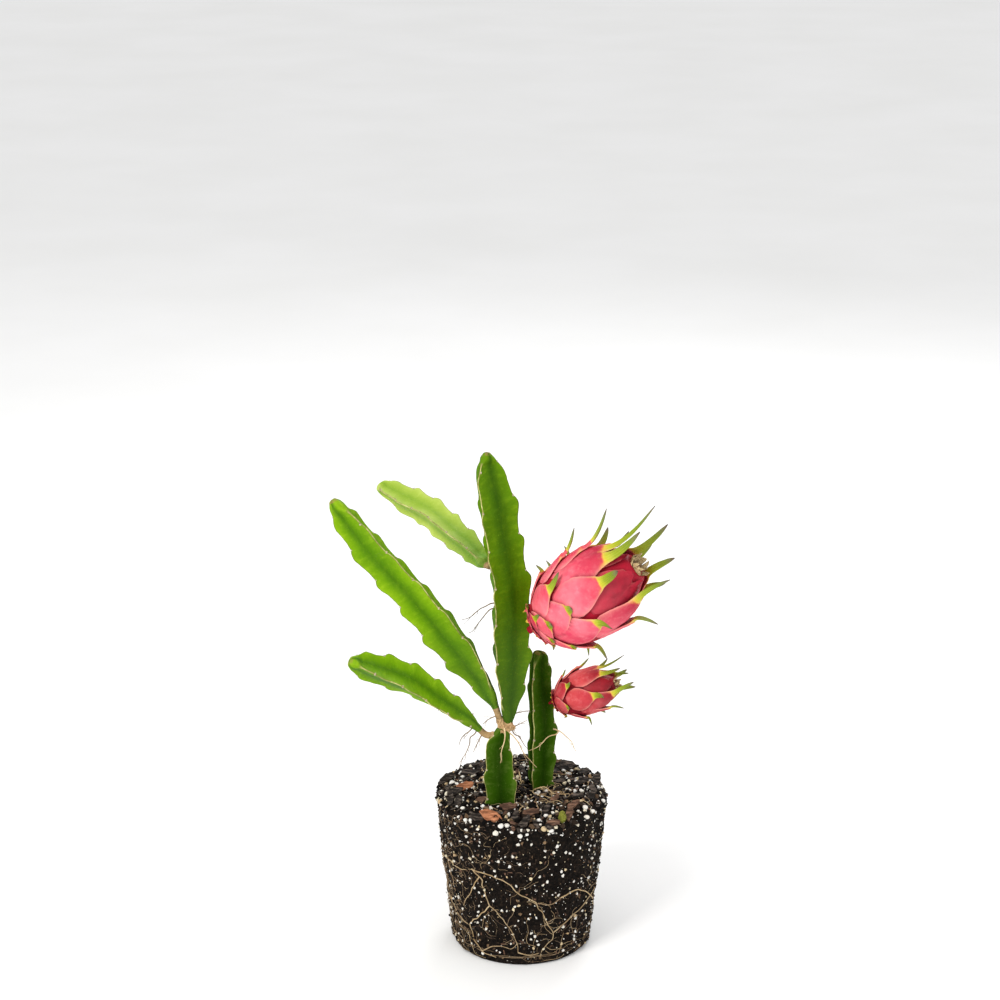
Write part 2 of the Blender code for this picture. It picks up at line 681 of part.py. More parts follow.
# Bark chips on the top: place, turn in degrees and length, in millimetres
CHIPS = [(-50, -4, 20, 15), (-28, -60, -30, 16), (-13, -44, 10, 13), (26, -67, 5, 11), (44, -40, 40, 12),
         (-6, -62, 60, 9), (-46, 27, 0, 14), (-55, -31, 80, 11), (52, 8, 30, 12), (20, 52, 15, 13),
         (-20, 50, -40, 12), (15, 31, 5, 10), (60, -18, 70, 10), (36, 36, -20, 11)]


def rough(point, size):
    """A smooth uneven value from -1 to 1 at a point in millimetres, with bumps of the given size."""
    return noise.noise(Vector(point) / size)


def soil_object():
    """The soil: a tapered wall, a crumbled shoulder, a mounded top and a flat base."""
    outline = [(BALL_BASE_RADIUS - 2, 0.0)]
    for row in range(1, WALL_RINGS + 1):
        level = row / WALL_RINGS
        far = BALL_BASE_RADIUS + (BALL_TOP_RADIUS - BALL_BASE_RADIUS) * level
        outline.append((far, WALL_HEIGHT * level))
    rings = []
    for far, height in outline + BALL_TOP:
        ring = []
        for k in range(BALL_SIDES):
            angle = math.tau * k / BALL_SIDES
            away = Vector((math.sin(angle), -math.cos(angle), 0))
            place = away * far + Vector((0, 0, height))
            uneven = sum(bump * rough(place, size) for bump, size in SOIL_BUMPS)
            push = away if height <= WALL_HEIGHT else Vector((0, 0, 1))
            ring.append((place + push * uneven) * MM)
        rings.append(ring)
    return new_object("root_ball", *skin(rings, first=Vector()))


def tree_of(obj):
    """A search tree of an object's faces."""
    graph = bpy.context.evaluated_depsgraph_get()
    return BVHTree.FromObject(obj, graph)


def wall_point(tree, angle, height, off):
    """The point at an angle and a height that stands off the soil's wall by some millimetres."""
    turn = math.radians(angle)
    away = Vector((math.sin(turn), -math.cos(turn), 0))
    across = Vector((math.cos(turn), math.sin(turn), 0))
    farthest = 0.0
    for dx, dz in ((0, 0), (1.2, 0), (-1.2, 0), (0, 1.2), (0, -1.2)):
        start = away * 0.2 + across * dx * MM + Vector((0, 0, (height + dz) * MM))
        hit = tree.ray_cast(start, -away)[0]
        if hit:
            farthest = max(farthest, hit.dot(away))
    return away * (farthest + off * MM) + Vector((0, 0, height * MM))


def top_point(tree, x, y, off):
    """The point over (x, y) that stands off the soil's top by some millimetres."""
    highest = 0.0
    for dx, dy in ((0, 0), (1.2, 0), (-1.2, 0), (0, 1.2), (0, -1.2)):
        hit = tree.ray_cast(Vector(((x + dx) * MM, (y + dy) * MM, 0.3)), Vector((0, 0, -1)))[0]
        if hit:
            highest = max(highest, hit.z)
    return Vector((x * MM, y * MM, highest + off * MM))


def root_walks():
    """Roots that wander on round the back of the ball from the ones at its front."""
    draw = random.Random(SEED)
    walks = []
    for (angle, height), way in WALKS:
        walk = [(angle, height)]
        drift = draw.uniform(-3, 3)
        for _ in range(WALK_STEPS):
            angle += way * draw.uniform(6, 13)
            drift = 0.6 * drift + draw.uniform(-6, 6)
            height = min(max(height + drift, 8), 118)
            walk.append((angle, height))
        walks.append(walk)
    return walks


def dense(points, step):
    """Points every few units along a smooth curve through flat (a, b) pairs."""
    path = Path([Vector((a, b, 0)) for a, b in points])
    count = max(2, round(path.length / step))
    found = [path.at(path.length * k / count) for k in range(count + 1)]
    return [(point.x, point.y) for point in found]


def wall_roots(tree):
    """The net of roots on the ball's wall, as one body."""
    tubes = []
    for line in WALL_ROOTS + root_walks():
        places = dense(line, 6.0)
        points = [wall_point(tree, a, h, WALL_ROOT_RADIUS + OFF_SOIL) for a, h in places]
        tubes.append(tube(points, WALL_ROOT_RADIUS, step=7.5))
    body = tubes[0]
    body.name = "wall_roots"
    join(body, tubes[1:])
    return body


def top_roots(tree):
    """The fine roots that lie across the soil's top, as one body."""
    tubes = []
    for line in TOP_ROOTS:
        points = [top_point(tree, x, y, TOP_ROOT_RADIUS + OFF_SOIL) for x, y in dense(line, 4.0)]
        tubes.append(tube(points, TOP_ROOT_RADIUS, step=4.0, taper=0.2))
    body = tubes[0]
    body.name = "top_roots"
    join(body, tubes[1:])
    return body


def near_root(angle, height, lines):
    """Whether a place on the wall is within a grain's reach of a root."""
    for line in lines:
        for a, h in line:
            around = (angle - a + 180) % 360 - 180
            if math.hypot(math.radians(around) * BALL_BASE_RADIUS, height - h) < GRAIN_TO_ROOT:
                return True
    return False


def grain(centre, radius, draw):
    """A perlite grain: an uneven eight-sided bead."""
    pole = Vector([draw.uniform(-1, 1) for _ in range(3)])
    turn = Matrix.Rotation(draw.uniform(0, math.tau), 3, pole)
    corners = [Vector(c) for c in ((1, 0, 0), (-1, 0, 0), (0, 1, 0), (0, -1, 0), (0, 0, 1), (0, 0, -1))]
    verts = [centre + turn @ c * radius * draw.uniform(*GRAIN_CORNERS) for c in corners]
    faces = [(x, y, z) for x in (0, 1) for y in (2, 3) for z in (4, 5)]
    return new_object("grain", verts, faces)


def grains(tree, draw):
    """Perlite grains half sunk in the wall and the top, clear of the roots and the stems."""
    lines = [dense(line, 4.5) for line in WALL_ROOTS + root_walks()]
    made = []
    while len(made) < GRAINS_ON_WALL:
        angle, height = draw.uniform(0, 360), draw.uniform(5, WALL_HEIGHT - 4)
        radius = draw.uniform(*GRAIN_RADII)
        if not near_root(angle, height, lines):
            made.append(grain(wall_point(tree, angle, height, -GRAIN_SUNK * radius), radius * MM, draw))
    stems = [STEMS[name]["line"][0] for name in ROOTED]
    paths = [dense(line, 4.0) for line in TOP_ROOTS]
    while len(made) < GRAINS_ON_WALL + GRAINS_ON_TOP:
        far, turn = BALL_TOP[0][0] * math.sqrt(draw.random()), draw.uniform(0, math.tau)
        x, y = far * math.cos(turn), far * math.sin(turn)
        radius = draw.uniform(*GRAIN_RADII)
        clear = all(math.hypot(x - a, y - b) > GRAIN_TO_STEM for a, b, _ in stems)
        clear = clear and all(math.hypot(x - a, y - b) > GRAIN_TO_ROOT for path in paths for a, b in path)
        clear = clear and all(math.hypot(x - a, y - b) > GRAIN_TO_CHIP for a, b, _, _ in CHIPS)
        if clear:
            made.append(grain(top_point(tree, x, y, -GRAIN_SUNK * radius), radius * MM, draw))
    return made


def chip(tree, x, y, turn, length, draw):
    """A flat flake of bark, tapered at its ends and half sunk in the soil."""
    half, wide = 0.5 * length, 0.3 * length
    outline = [(-half, 0.1 * wide), (-0.3 * half, -wide), (0.6 * half, -0.9 * wide), (half, 0.2 * wide),
               (0.2 * half, wide)]
    tilt = Matrix.Rotation(math.radians(draw.uniform(-CHIP_TILT, CHIP_TILT)), 3, "X")
    spin = Matrix.Rotation(math.radians(turn), 3, "Z")
    centre = top_point(tree, x, y, 0.1)
    rings = [[centre + spin @ tilt @ Vector((a * s, b * s, z)) * MM for a, b in outline]
             for z, s in ((-CHIP_HALF_THICKNESS, 1.0), (CHIP_HALF_THICKNESS, 0.9))]
    return new_object("chip", *skin(rings))


def root_ball_object():
    """The soil with its perlite and bark, and plain holes where the two cuttings stand."""
    ball = soil_object()
    draw = random.Random(SEED)
    tree = tree_of(ball)
    pieces = grains(tree, draw) + [chip(tree, *place, draw) for place in CHIPS]
    join(ball, pieces)
    for name in ROOTED:
        cut(ball, stem_object(name, grow=SEAT / MM))
    return ball


# The whole plant

# The left cutting's woody crown: its centre and half sizes, and its arms' lines and radii
CROWN_CENTRE = (-15.2, -30, 210.5)
CROWN_HALVES = (8.2, 6.2, 6.5)
CROWN_SIDES = 7
LOW_ARM = [(-17.5, -30, 206), (-23, -30.4, 204.2), (-27.5, -30.7, 204)]
LOW_ARM_RADIUS = 4.6
LEFT_ARM = [(-16.5, -30.4, 211), (-18.6, -30.9, 216), (-19.4, -31, 219.5)]
LEFT_ARM_RADIUS = 4.4


def crown_pieces():
    """The woody crown of the left cutting, with a short arm toward each shoot."""
    wide, deep, high = CROWN_HALVES
    rings = []
    for share in (-0.8, -0.35, 0.25, 0.75):
        size = math.sqrt(1 - share**2)
        ring = []
        for k in range(CROWN_SIDES):
            turn = math.tau * k / CROWN_SIDES
            offset = Vector((wide * size * math.cos(turn), deep * size * math.sin(turn), high * share))
            ring.append((Vector(CROWN_CENTRE) + offset) * MM)
        rings.append(ring)
    lump = new_object("crown", *skin(rings))
    arms = [tube(vectors(line), radius, sides=7, taper=0.05)
            for line, radius in ((LOW_ARM, LOW_ARM_RADIUS), (LEFT_ARM, LEFT_ARM_RADIUS))]
    return [lump] + arms


def stem_whole(name):
    """A stem with its spines and aerial roots as one body."""
    stem = stem_object(name)
    pieces = stem_spines(name) + [tube(vectors(line), ROOT_RADIUS) for line in AERIAL_ROOTS[name]]
    if name == "left_cutting":
        pieces += crown_pieces()
    join(stem, pieces)
    return stem


def build():
    """Makes every piece of the plant."""
    for obj in list(bpy.data.objects):
        bpy.data.objects.remove(obj)
    soil = material("soil", (0.035, 0.024, 0.017), 0.95)
    dry_root = material("dry_root", (0.52, 0.38, 0.2), 0.75)
    old_stem = material("old_stem", (0.03, 0.11, 0.025), 0.45)
    young_stem = material("young_stem", (0.13, 0.32, 0.02), 0.42)
    pale_stem = material("pale_stem", (0.3, 0.5, 0.12), 0.45)
    fruit_skin = material("fruit_skin", (0.72, 0.06, 0.12), 0.4)
    dried_flower = material("dried_flower", (0.45, 0.33, 0.17), 0.8)

    for name in ("right_cutting", "shoot_tall", "shoot_left", "shoot_low", "shoot_upper"):
        made = {"right_cutting": old_stem, "shoot_upper": pale_stem}.get(name, young_stem)
        finish(stem_whole(name), made)

    crown = stem_whole("left_cutting")
    for name in ("shoot_tall", "shoot_left", "shoot_low"):
        cut(crown, stem_object(name, grow=SEAT / MM))
    finish(crown, old_stem)

    for fruit, carrier in (("large_fruit", "shoot_tall"), ("small_fruit", "right_cutting")):
        finish(fruit_object(fruit, carrier), fruit_skin)
        finish(remnant_object(fruit + "_remnant", fruit), dried_flower)

    ball = root_ball_object()
    finish(ball, soil)
    tree = tree_of(ball)
    finish(wall_roots(tree), dry_root)
    finish(top_roots(tree), dry_root)


build()
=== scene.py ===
# %% [markdown]
# # A dragon fruit cactus in its bare root ball
#
# The plant has been lifted out of its pot, so the soil still has the pot's form. Two old
# three-winged cuttings stand in it. Three young shoots grow from the left one's crown and a
# fourth from the tallest of them, and two ripe fruits hang on the stems' margins. The packed
# model is loaded first and stays the measure of everything: each finer piece below is laid
# out from the same numbers as its solid.

# %% Load the frame
import json
import math
import random

import bmesh
import bpy
import numpy as np
from mathutils import Matrix, Vector, noise
from mathutils.bvhtree import BVHTree
from mathutils.kdtree import KDTree

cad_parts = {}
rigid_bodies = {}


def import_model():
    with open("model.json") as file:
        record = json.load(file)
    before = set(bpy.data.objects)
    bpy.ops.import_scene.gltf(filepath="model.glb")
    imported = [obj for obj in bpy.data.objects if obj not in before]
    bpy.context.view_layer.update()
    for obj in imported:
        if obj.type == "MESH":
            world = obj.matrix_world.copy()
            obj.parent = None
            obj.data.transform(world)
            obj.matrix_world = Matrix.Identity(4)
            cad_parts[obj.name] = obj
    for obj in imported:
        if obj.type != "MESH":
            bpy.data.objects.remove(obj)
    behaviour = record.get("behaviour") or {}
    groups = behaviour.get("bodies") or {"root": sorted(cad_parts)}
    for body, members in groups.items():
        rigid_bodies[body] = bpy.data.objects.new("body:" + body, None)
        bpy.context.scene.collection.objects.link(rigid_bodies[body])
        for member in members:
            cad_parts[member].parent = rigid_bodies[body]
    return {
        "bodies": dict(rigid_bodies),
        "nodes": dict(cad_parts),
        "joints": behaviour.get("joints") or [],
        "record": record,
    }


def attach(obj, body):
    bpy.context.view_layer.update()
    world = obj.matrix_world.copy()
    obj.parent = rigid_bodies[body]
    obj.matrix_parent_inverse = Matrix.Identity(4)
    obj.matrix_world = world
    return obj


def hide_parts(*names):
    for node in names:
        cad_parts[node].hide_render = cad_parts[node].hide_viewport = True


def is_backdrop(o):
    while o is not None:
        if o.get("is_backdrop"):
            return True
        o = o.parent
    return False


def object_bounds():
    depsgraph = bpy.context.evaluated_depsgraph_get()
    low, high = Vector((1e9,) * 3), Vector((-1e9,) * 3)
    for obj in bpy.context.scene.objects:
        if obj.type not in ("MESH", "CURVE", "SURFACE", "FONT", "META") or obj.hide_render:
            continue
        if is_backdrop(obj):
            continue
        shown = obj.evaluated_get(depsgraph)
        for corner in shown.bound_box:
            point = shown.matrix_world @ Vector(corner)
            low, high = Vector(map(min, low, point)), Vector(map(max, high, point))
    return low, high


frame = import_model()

MM = 0.001
scene = bpy.context.scene
solid_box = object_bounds()
print("nodes:", sorted(frame["nodes"]))
print("box of the solids:", [tuple(round(v, 4) for v in corner) for corner in solid_box])

# %% [markdown]
# ## Camera
#
# The picture was taken with a long lens from a little above, which is why the wings hardly
# taper towards the top. The camera stands two metres off and looks down at the plant.

# %% Make the camera
CAMERA_PLACE = (-0.01905, -2.00698, 1.07587)
CAMERA_DOWN = 18.45  # degrees below the horizon
FOCAL_LENGTH, SENSOR_WIDTH = 90.61, 36.0  # millimetres

lens = bpy.data.cameras.new("camera")
lens.lens, lens.sensor_width = FOCAL_LENGTH, SENSOR_WIDTH
camera = bpy.data.objects.new("camera", lens)
camera.location = CAMERA_PLACE
camera.rotation_euler = (math.radians(90 - CAMERA_DOWN), 0, 0)
scene.collection.objects.link(camera)
scene.camera = camera
print("camera at", CAMERA_PLACE)

# %% [markdown]
# ## Floor and light
#
# A plain white floor and soft light from all sides, with one large lamp high on the left
# that models the wings. Strong even light keeps the dark soil readable without hard
# shadows. The standard view keeps the leaf greens and the fruit's pink as clear as they are.

# %% Light the studio
scene.view_settings.view_transform = "Standard"

world = bpy.data.worlds.new("studio")
scene.world = world
world.use_nodes = True
sky = world.node_tree.nodes["Background"].inputs
sky["Color"].default_value = (1.0, 1.0, 1.0, 1.0)
sky["Strength"].default_value = 0.85

MIDDLE = (0.0, -0.02, 0.22)  # what the lamps shine at
LAMPS = {  # place and size in metres, watts, colour
    "key_light": ((-1.1, -1.3, 1.5), 0.7, 26, (1.0, 0.98, 0.94)),
    "fill_light": ((1.5, -1.2, 0.8), 1.2, 7, (0.95, 0.98, 1.0)),
    "rim_light": ((0.5, 1.5, 1.4), 0.8, 12, (1.0, 1.0, 1.0)),
}
for name, (place, size, watts, colour) in LAMPS.items():
    data = bpy.data.lights.new(name, "AREA")
    data.shape, data.size, data.energy, data.color = "SQUARE", size, watts, colour
    obj = bpy.data.objects.new(name, data)
    obj.location = place
    obj.rotation_euler = (Vector(MIDDLE) - Vector(place)).to_track_quat("-Z", "Y").to_euler()
    scene.collection.objects.link(obj)

FLOOR_HALF = 14.0  # metres
floor_mesh = bpy.data.meshes.new("floor")
corners = [(x * FLOOR_HALF, y * FLOOR_HALF, 0) for x, y in ((-1, -1), (1, -1), (1, 1), (-1, 1))]
floor_mesh.from_pydata(corners, [], [(0, 1, 2, 3)])
floor = bpy.data.objects.new("floor", floor_mesh)
scene.collection.objects.link(floor)
floor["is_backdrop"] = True

# %% [markdown]
# ## Small helpers for shader nodes
#
# Every finish is made from nodes. These helpers add a node with its settings and inputs in
# one line, so that each material below reads as a list of what the surface shows.

# %% Shader helpers
def fill(tree, node, inputs):
    """Links each input that is given a socket, and sets any other."""
    for name, value in inputs.items():
        if isinstance(value, bpy.types.NodeSocket):
            tree.links.new(value, node.inputs[name])
        else:
            node.inputs[name].default_value = value


def add(tree, kind, inputs=None, **settings):
    """Adds a node with its settings and its inputs."""
    node = tree.nodes.new(kind)
    for name, value in settings.items():
        setattr(node, name, value)
    fill(tree, node, inputs or {})
    return node


def calc(tree, operation, a, b=0.0, clamp=False):
    """A Math node's result."""
    return add(tree, "ShaderNodeMath", {0: a, 1: b}, operation=operation, use_clamp=clamp).outputs[0]


def times(tree, a, b):
    """The product of two values."""
    return calc(tree, "MULTIPLY", a, b)


def plus(tree, a, b, clamp=False):
    """The sum of two values, held between 0 and 1 if asked."""
    return calc(tree, "ADD", a, b, clamp)


def toned(colour, grow, rise=0.0):
    """A colour made darker or lighter, with no part above 1."""
    return tuple(min(1.0, grow * c + rise) for c in colour)


def mix(tree, factor, a, b, blend="MIX"):
    """Two colours mixed; a and b are sockets or (r, g, b)."""
    values = {0: factor}
    for place, colour in ((6, a), (7, b)):
        values[place] = (*colour, 1.0) if isinstance(colour, tuple) else colour
    return add(tree, "ShaderNodeMix", values, data_type="RGBA", blend_type=blend).outputs[2]


def ramp(tree, factor, stops):
    """A colour ramp through (place, (r, g, b)) stops."""
    node = add(tree, "ShaderNodeValToRGB", {"Fac": factor})
    elements = node.color_ramp.elements
    while len(elements) < len(stops):
        elements.new(0.5)
    for element, (place, colour) in zip(elements, stops):
        element.position = place
        element.color = (*colour, 1.0)
    return node.outputs["Color"]


def span(tree, value, low, high, to_low=0.0, to_high=1.0):
    """A value carried from one range to another, held at both ends."""
    inputs = {"Value": value, "From Min": low, "From Max": high, "To Min": to_low, "To Max": to_high}
    return add(tree, "ShaderNodeMapRange", inputs, clamp=True).outputs["Result"]


def attribute(tree, name):
    """A number stored on the mesh."""
    return add(tree, "ShaderNodeAttribute", attribute_name=name).outputs["Fac"]


def object_place(tree):
    """The Object coordinates."""
    return add(tree, "ShaderNodeTexCoord").outputs["Object"]


def noise_at(tree, place, scale, detail=2.0, rough=0.5):
    """A noise value at a place."""
    inputs = {"Vector": place, "Scale": scale, "Detail": detail, "Roughness": rough}
    return add(tree, "ShaderNodeTexNoise", inputs).outputs["Fac"]


def cloud(tree, scale, detail=3.0, rough=0.5, stretch=None):
    """A noise value on Object coordinates; stretch scales the three axes."""
    place = object_place(tree)
    if stretch:
        place = add(tree, "ShaderNodeMapping", {"Vector": place, "Scale": stretch}).outputs["Vector"]
    return noise_at(tree, place, scale, detail, rough)


def around_zero(tree, value):
    """A value from 0 to 1, moved down to lie evenly round 0."""
    return calc(tree, "SUBTRACT", value, 0.5)


def finish_material(name):
    """A material with nodes, its tree and its Principled shader."""
    made = bpy.data.materials.new(name)
    made.use_nodes = True
    return made, made.node_tree, made.node_tree.nodes["Principled BSDF"]


def bump(tree, shader, height, strength, distance):
    """Feeds a height to the shader's normal."""
    inputs = {"Height": height, "Strength": strength, "Distance": distance}
    fill(tree, shader, {"Normal": add(tree, "ShaderNodeBump", inputs).outputs["Normal"]})


def feed(tree, shader, colour, roughness, specular=0.5):
    """Gives the shader its colour, its roughness and its specular level."""
    fill(tree, shader, {"Base Color": colour, "Roughness": roughness, "Specular IOR Level": specular})


print("helpers ready")

# %% [markdown]
# ## Shared shader groups
#
# Living tissue is never one colour. Two effects come back in several finishes, so each is
# a node group: soft mottling between two colours, and a fine skin grain of tiny pores.

# %% Build the shared groups
def new_group(name, inputs, outputs):
    """A shader group with the named sockets: inputs are (name, type, value)."""
    group = bpy.data.node_groups.new(name, "ShaderNodeTree")
    for label, kind, value in inputs:
        socket = group.interface.new_socket(label, in_out="INPUT", socket_type=kind)
        socket.default_value = value
    for label, kind in outputs:
        group.interface.new_socket(label, in_out="OUTPUT", socket_type=kind)
    start = group.nodes.new("NodeGroupInput")
    end = group.nodes.new("NodeGroupOutput")
    return group, start.outputs, end.inputs


COLOUR, NUMBER = "NodeSocketColor", "NodeSocketFloat"

mottling, given, result = new_group(
    "mottled colour",
    [("Light", COLOUR, (0.5, 0.5, 0.5, 1)), ("Dark", COLOUR, (0.1, 0.1, 0.1, 1)),
     ("Patch Scale", NUMBER, 60.0), ("Speck Scale", NUMBER, 700.0), ("Specks", NUMBER, 0.2)],
    [("Colour", COLOUR)])
where = object_place(mottling)
patches = noise_at(mottling, where, given["Patch Scale"], 4.0)
specks = around_zero(mottling, noise_at(mottling, where, given["Speck Scale"]))
share = plus(mottling, span(mottling, patches, 0.32, 0.68), times(mottling, specks, given["Specks"]), True)
mottling.links.new(mix(mottling, share, given["Dark"], given["Light"]), result["Colour"])

pores, given, result = new_group(
    "skin grain", [("Scale", NUMBER, 900.0), ("Depth", NUMBER, 1.0)], [("Height", NUMBER)])
where = object_place(pores)
cells = add(pores, "ShaderNodeTexVoronoi", {"Vector": where, "Scale": given["Scale"]}).outputs["Distance"]
waves = noise_at(pores, where, times(pores, given["Scale"], 0.18))
height = plus(pores, times(pores, cells, 0.35), waves)
pores.links.new(times(pores, height, given["Depth"]), result["Height"])


def mottle(tree, light, dark, patch=60.0, speck=700.0, specks=0.2):
    """The mottled colour group, placed in a material."""
    values = {"Light": (*light, 1), "Dark": (*dark, 1), "Patch Scale": patch, "Speck Scale": speck,
              "Specks": specks}
    return add(tree, "ShaderNodeGroup", values, node_tree=mottling).outputs["Colour"]


def grain_height(tree, scale, depth):
    """The skin grain group, placed in a material."""
    values = {"Scale": scale, "Depth": depth}
    return add(tree, "ShaderNodeGroup", values, node_tree=pores).outputs["Height"]


print("groups:", [group.name for group in bpy.data.node_groups])

# %% Finish the floor
paper, tree, shader = finish_material("white_paper")
feed(tree, shader, mottle(tree, (0.93, 0.93, 0.93), (0.90, 0.90, 0.895), 3.0, 400.0, 0.1), 0.9, 0.1)
floor.data.materials.append(paper)

# %% [markdown]
# ## Smooth paths
#
# A stem is known by a few points along its middle line, read in millimetres. A smooth curve
# goes through them, and everything else is placed by the length along that curve.

# %% The path class
class Path:
    """A smooth curve through a few points, read by the length along it, in millimetres."""

    PER_SPAN = 12
    STEP = 1.5  # how far before and after a place the points lie that give its direction

    def __init__(self, points):
        points = np.array(points, float)
        spans = np.linalg.norm(np.diff(points, axis=0), axis=1)
        slopes = np.diff(points, axis=0) / spans[:, None]
        inner = (slopes[:-1] * spans[1:, None] + slopes[1:] * spans[:-1, None])
        inner /= (spans[1:] + spans[:-1])[:, None]
        tangents = np.vstack([slopes[:1], inner, slopes[-1:]])
        t = np.arange(1, self.PER_SPAN + 1)[:, None] / self.PER_SPAN
        found = [points[:1]]
        for i, span in enumerate(spans):
            start = points[i] * (2 * t**3 - 3 * t**2 + 1) + tangents[i] * span * (t**3 - 2 * t**2 + t)
            end = points[i + 1] * (3 * t**2 - 2 * t**3) + tangents[i + 1] * span * (t**3 - t**2)
            found.append(start + end)
        self.points = np.vstack(found)
        steps = np.linalg.norm(np.diff(self.points, axis=0), axis=1)
        self.lengths = np.concatenate([[0.0], np.cumsum(steps)])
        self.length = self.lengths[-1]

    def at(self, s):
        """The point, or points, at length s."""
        return np.stack([np.interp(s, self.lengths, self.points[:, k]) for k in range(3)], axis=-1)

    def along(self, s):
        """The direction of the curve at length s."""
        s = np.clip(s, self.STEP, self.length - self.STEP)
        way = self.at(s + self.STEP) - self.at(s - self.STEP)
        return way / np.linalg.norm(way, axis=-1, keepdims=True)


def between(table, s):
    """The value at s in a short table of (place, value) pairs, straight between the pairs."""
    return float(np.interp(s, *zip(*table)))


def ease(t):
    """A smooth step from 0 to 1."""
    t = min(max(t, 0.0), 1.0)
    return float(t * t * (3 - 2 * t))


def unit(v):
    """The vector at length 1."""
    return v / np.linalg.norm(v, axis=-1, keepdims=True)


def rough(point, size):
    """A smooth uneven value from -1 to 1 at a point in millimetres, with bumps of the given size."""
    return noise.noise(Vector(point) / size)


# %% [markdown]
# ## From rings to a mesh
#
# Most living shapes here are lofts: closed rings of points, one behind the other. One
# function turns rows of points into a closed mesh and stores the numbers that the materials
# read, such as how far out on a wing a point lies.

# %% Mesh helpers
def store(mesh, label, values):
    """Stores a number for each point of a mesh."""
    stored = mesh.attributes.new(label, "FLOAT", "POINT")
    stored.data.foreach_set("value", np.asarray(values, dtype=np.float32))


def new_piece(name, verts, faces, materials, numbers=None, smooth=True, edges=()):
    """A mesh object from points in millimetres, with its materials and its stored numbers."""
    mesh = bpy.data.meshes.new(name)
    mesh.from_pydata((np.asarray(verts) * MM).tolist(), edges, faces)
    for label, values in (numbers or {}).items():
        store(mesh, label, values)
    for made in materials:
        mesh.materials.append(made)
    if smooth:
        mesh.shade_smooth()
    obj = bpy.data.objects.new(name, mesh)
    scene.collection.objects.link(obj)
    return obj


def loft_faces(rows, count):
    """Quads between closed rings, and a fan over each end whose middle point comes after the rings."""
    faces = []
    for row in range(rows - 1):
        a = row * count
        for k in range(count):
            b = (k + 1) % count
            faces.append((a + k, a + b, a + b + count, a + k + count))
    first, top = rows * count, (rows - 1) * count
    for k in range(count):
        b = (k + 1) % count
        faces += [(b, k, first), (top + k, top + b, first + 1)]
    return faces


def capped(rings):
    """The points of all rings, and then the middle of the first and of the last."""
    return np.vstack(rings + [rings[0].mean(0)[None], rings[-1].mean(0)[None]])


def joined(parts):
    """Several closed shapes as one; each is its points, its faces and its stored numbers."""
    verts, faces, numbers, offset = [], [], {}, 0
    for part_verts, part_faces, part_numbers in parts:
        verts.append(part_verts)
        faces += [tuple(offset + i for i in face) for face in part_faces]
        for label, values in part_numbers.items():
            numbers.setdefault(label, []).extend(values)
        offset += len(part_verts)
    return np.vstack(verts), faces, numbers


def outward(obj):
    """Turns a closed mesh's faces outward."""
    shape = bmesh.new()
    shape.from_mesh(obj.data)
    bmesh.ops.recalc_face_normals(shape, faces=shape.faces)
    shape.to_mesh(obj.data)
    shape.free()
    return obj


def place_piece(obj, finish_slot, *nodes):
    """Rides a finished piece on the plant, hides the solids that it stands for and prints its triangle count.
    """
    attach(obj, "root")
    if nodes:
        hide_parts(*nodes)
    obj.data.calc_loop_triangles()
    print(f"{obj.name}: {len(obj.data.loop_triangles)} triangles")


# %% [markdown]
# ## Finishes of the stems
#
# A young stem is a deep, saturated green. Its grooves are darker, because the skin there lies
# in its own shade and is thicker, and pale ripples run across the wings. Only the very edge
# is horny: a thin cream line with a dark one beside it. Old stems are darker with dry scars.
# Each stem is corky where it starts, and a little dried at its tip. The numbers stored on the
# mesh say where a point lies, and ramps turn them into these zones.

# %% Make the stem finishes
RIPPLE_PITCH = 4.2  # millimetres along the stem
RIPPLE_SPREAD = 1.6  # how much a ripple changes from groove to margin
CORK = (0.50, 0.33, 0.16)


def ripple_noise(tree):
    """A noise that runs across the wings: fast along the stem, slow from groove to margin."""
    along_mm = times(tree, attribute(tree, "run"), 1.0 / RIPPLE_PITCH)
    out_mm = times(tree, attribute(tree, "wing"), RIPPLE_SPREAD)
    inputs = {"X": along_mm, "Y": out_mm, "Z": attribute(tree, "side")}
    return noise_at(tree, add(tree, "ShaderNodeCombineXYZ", inputs).outputs[0], 1.0, 3.0)


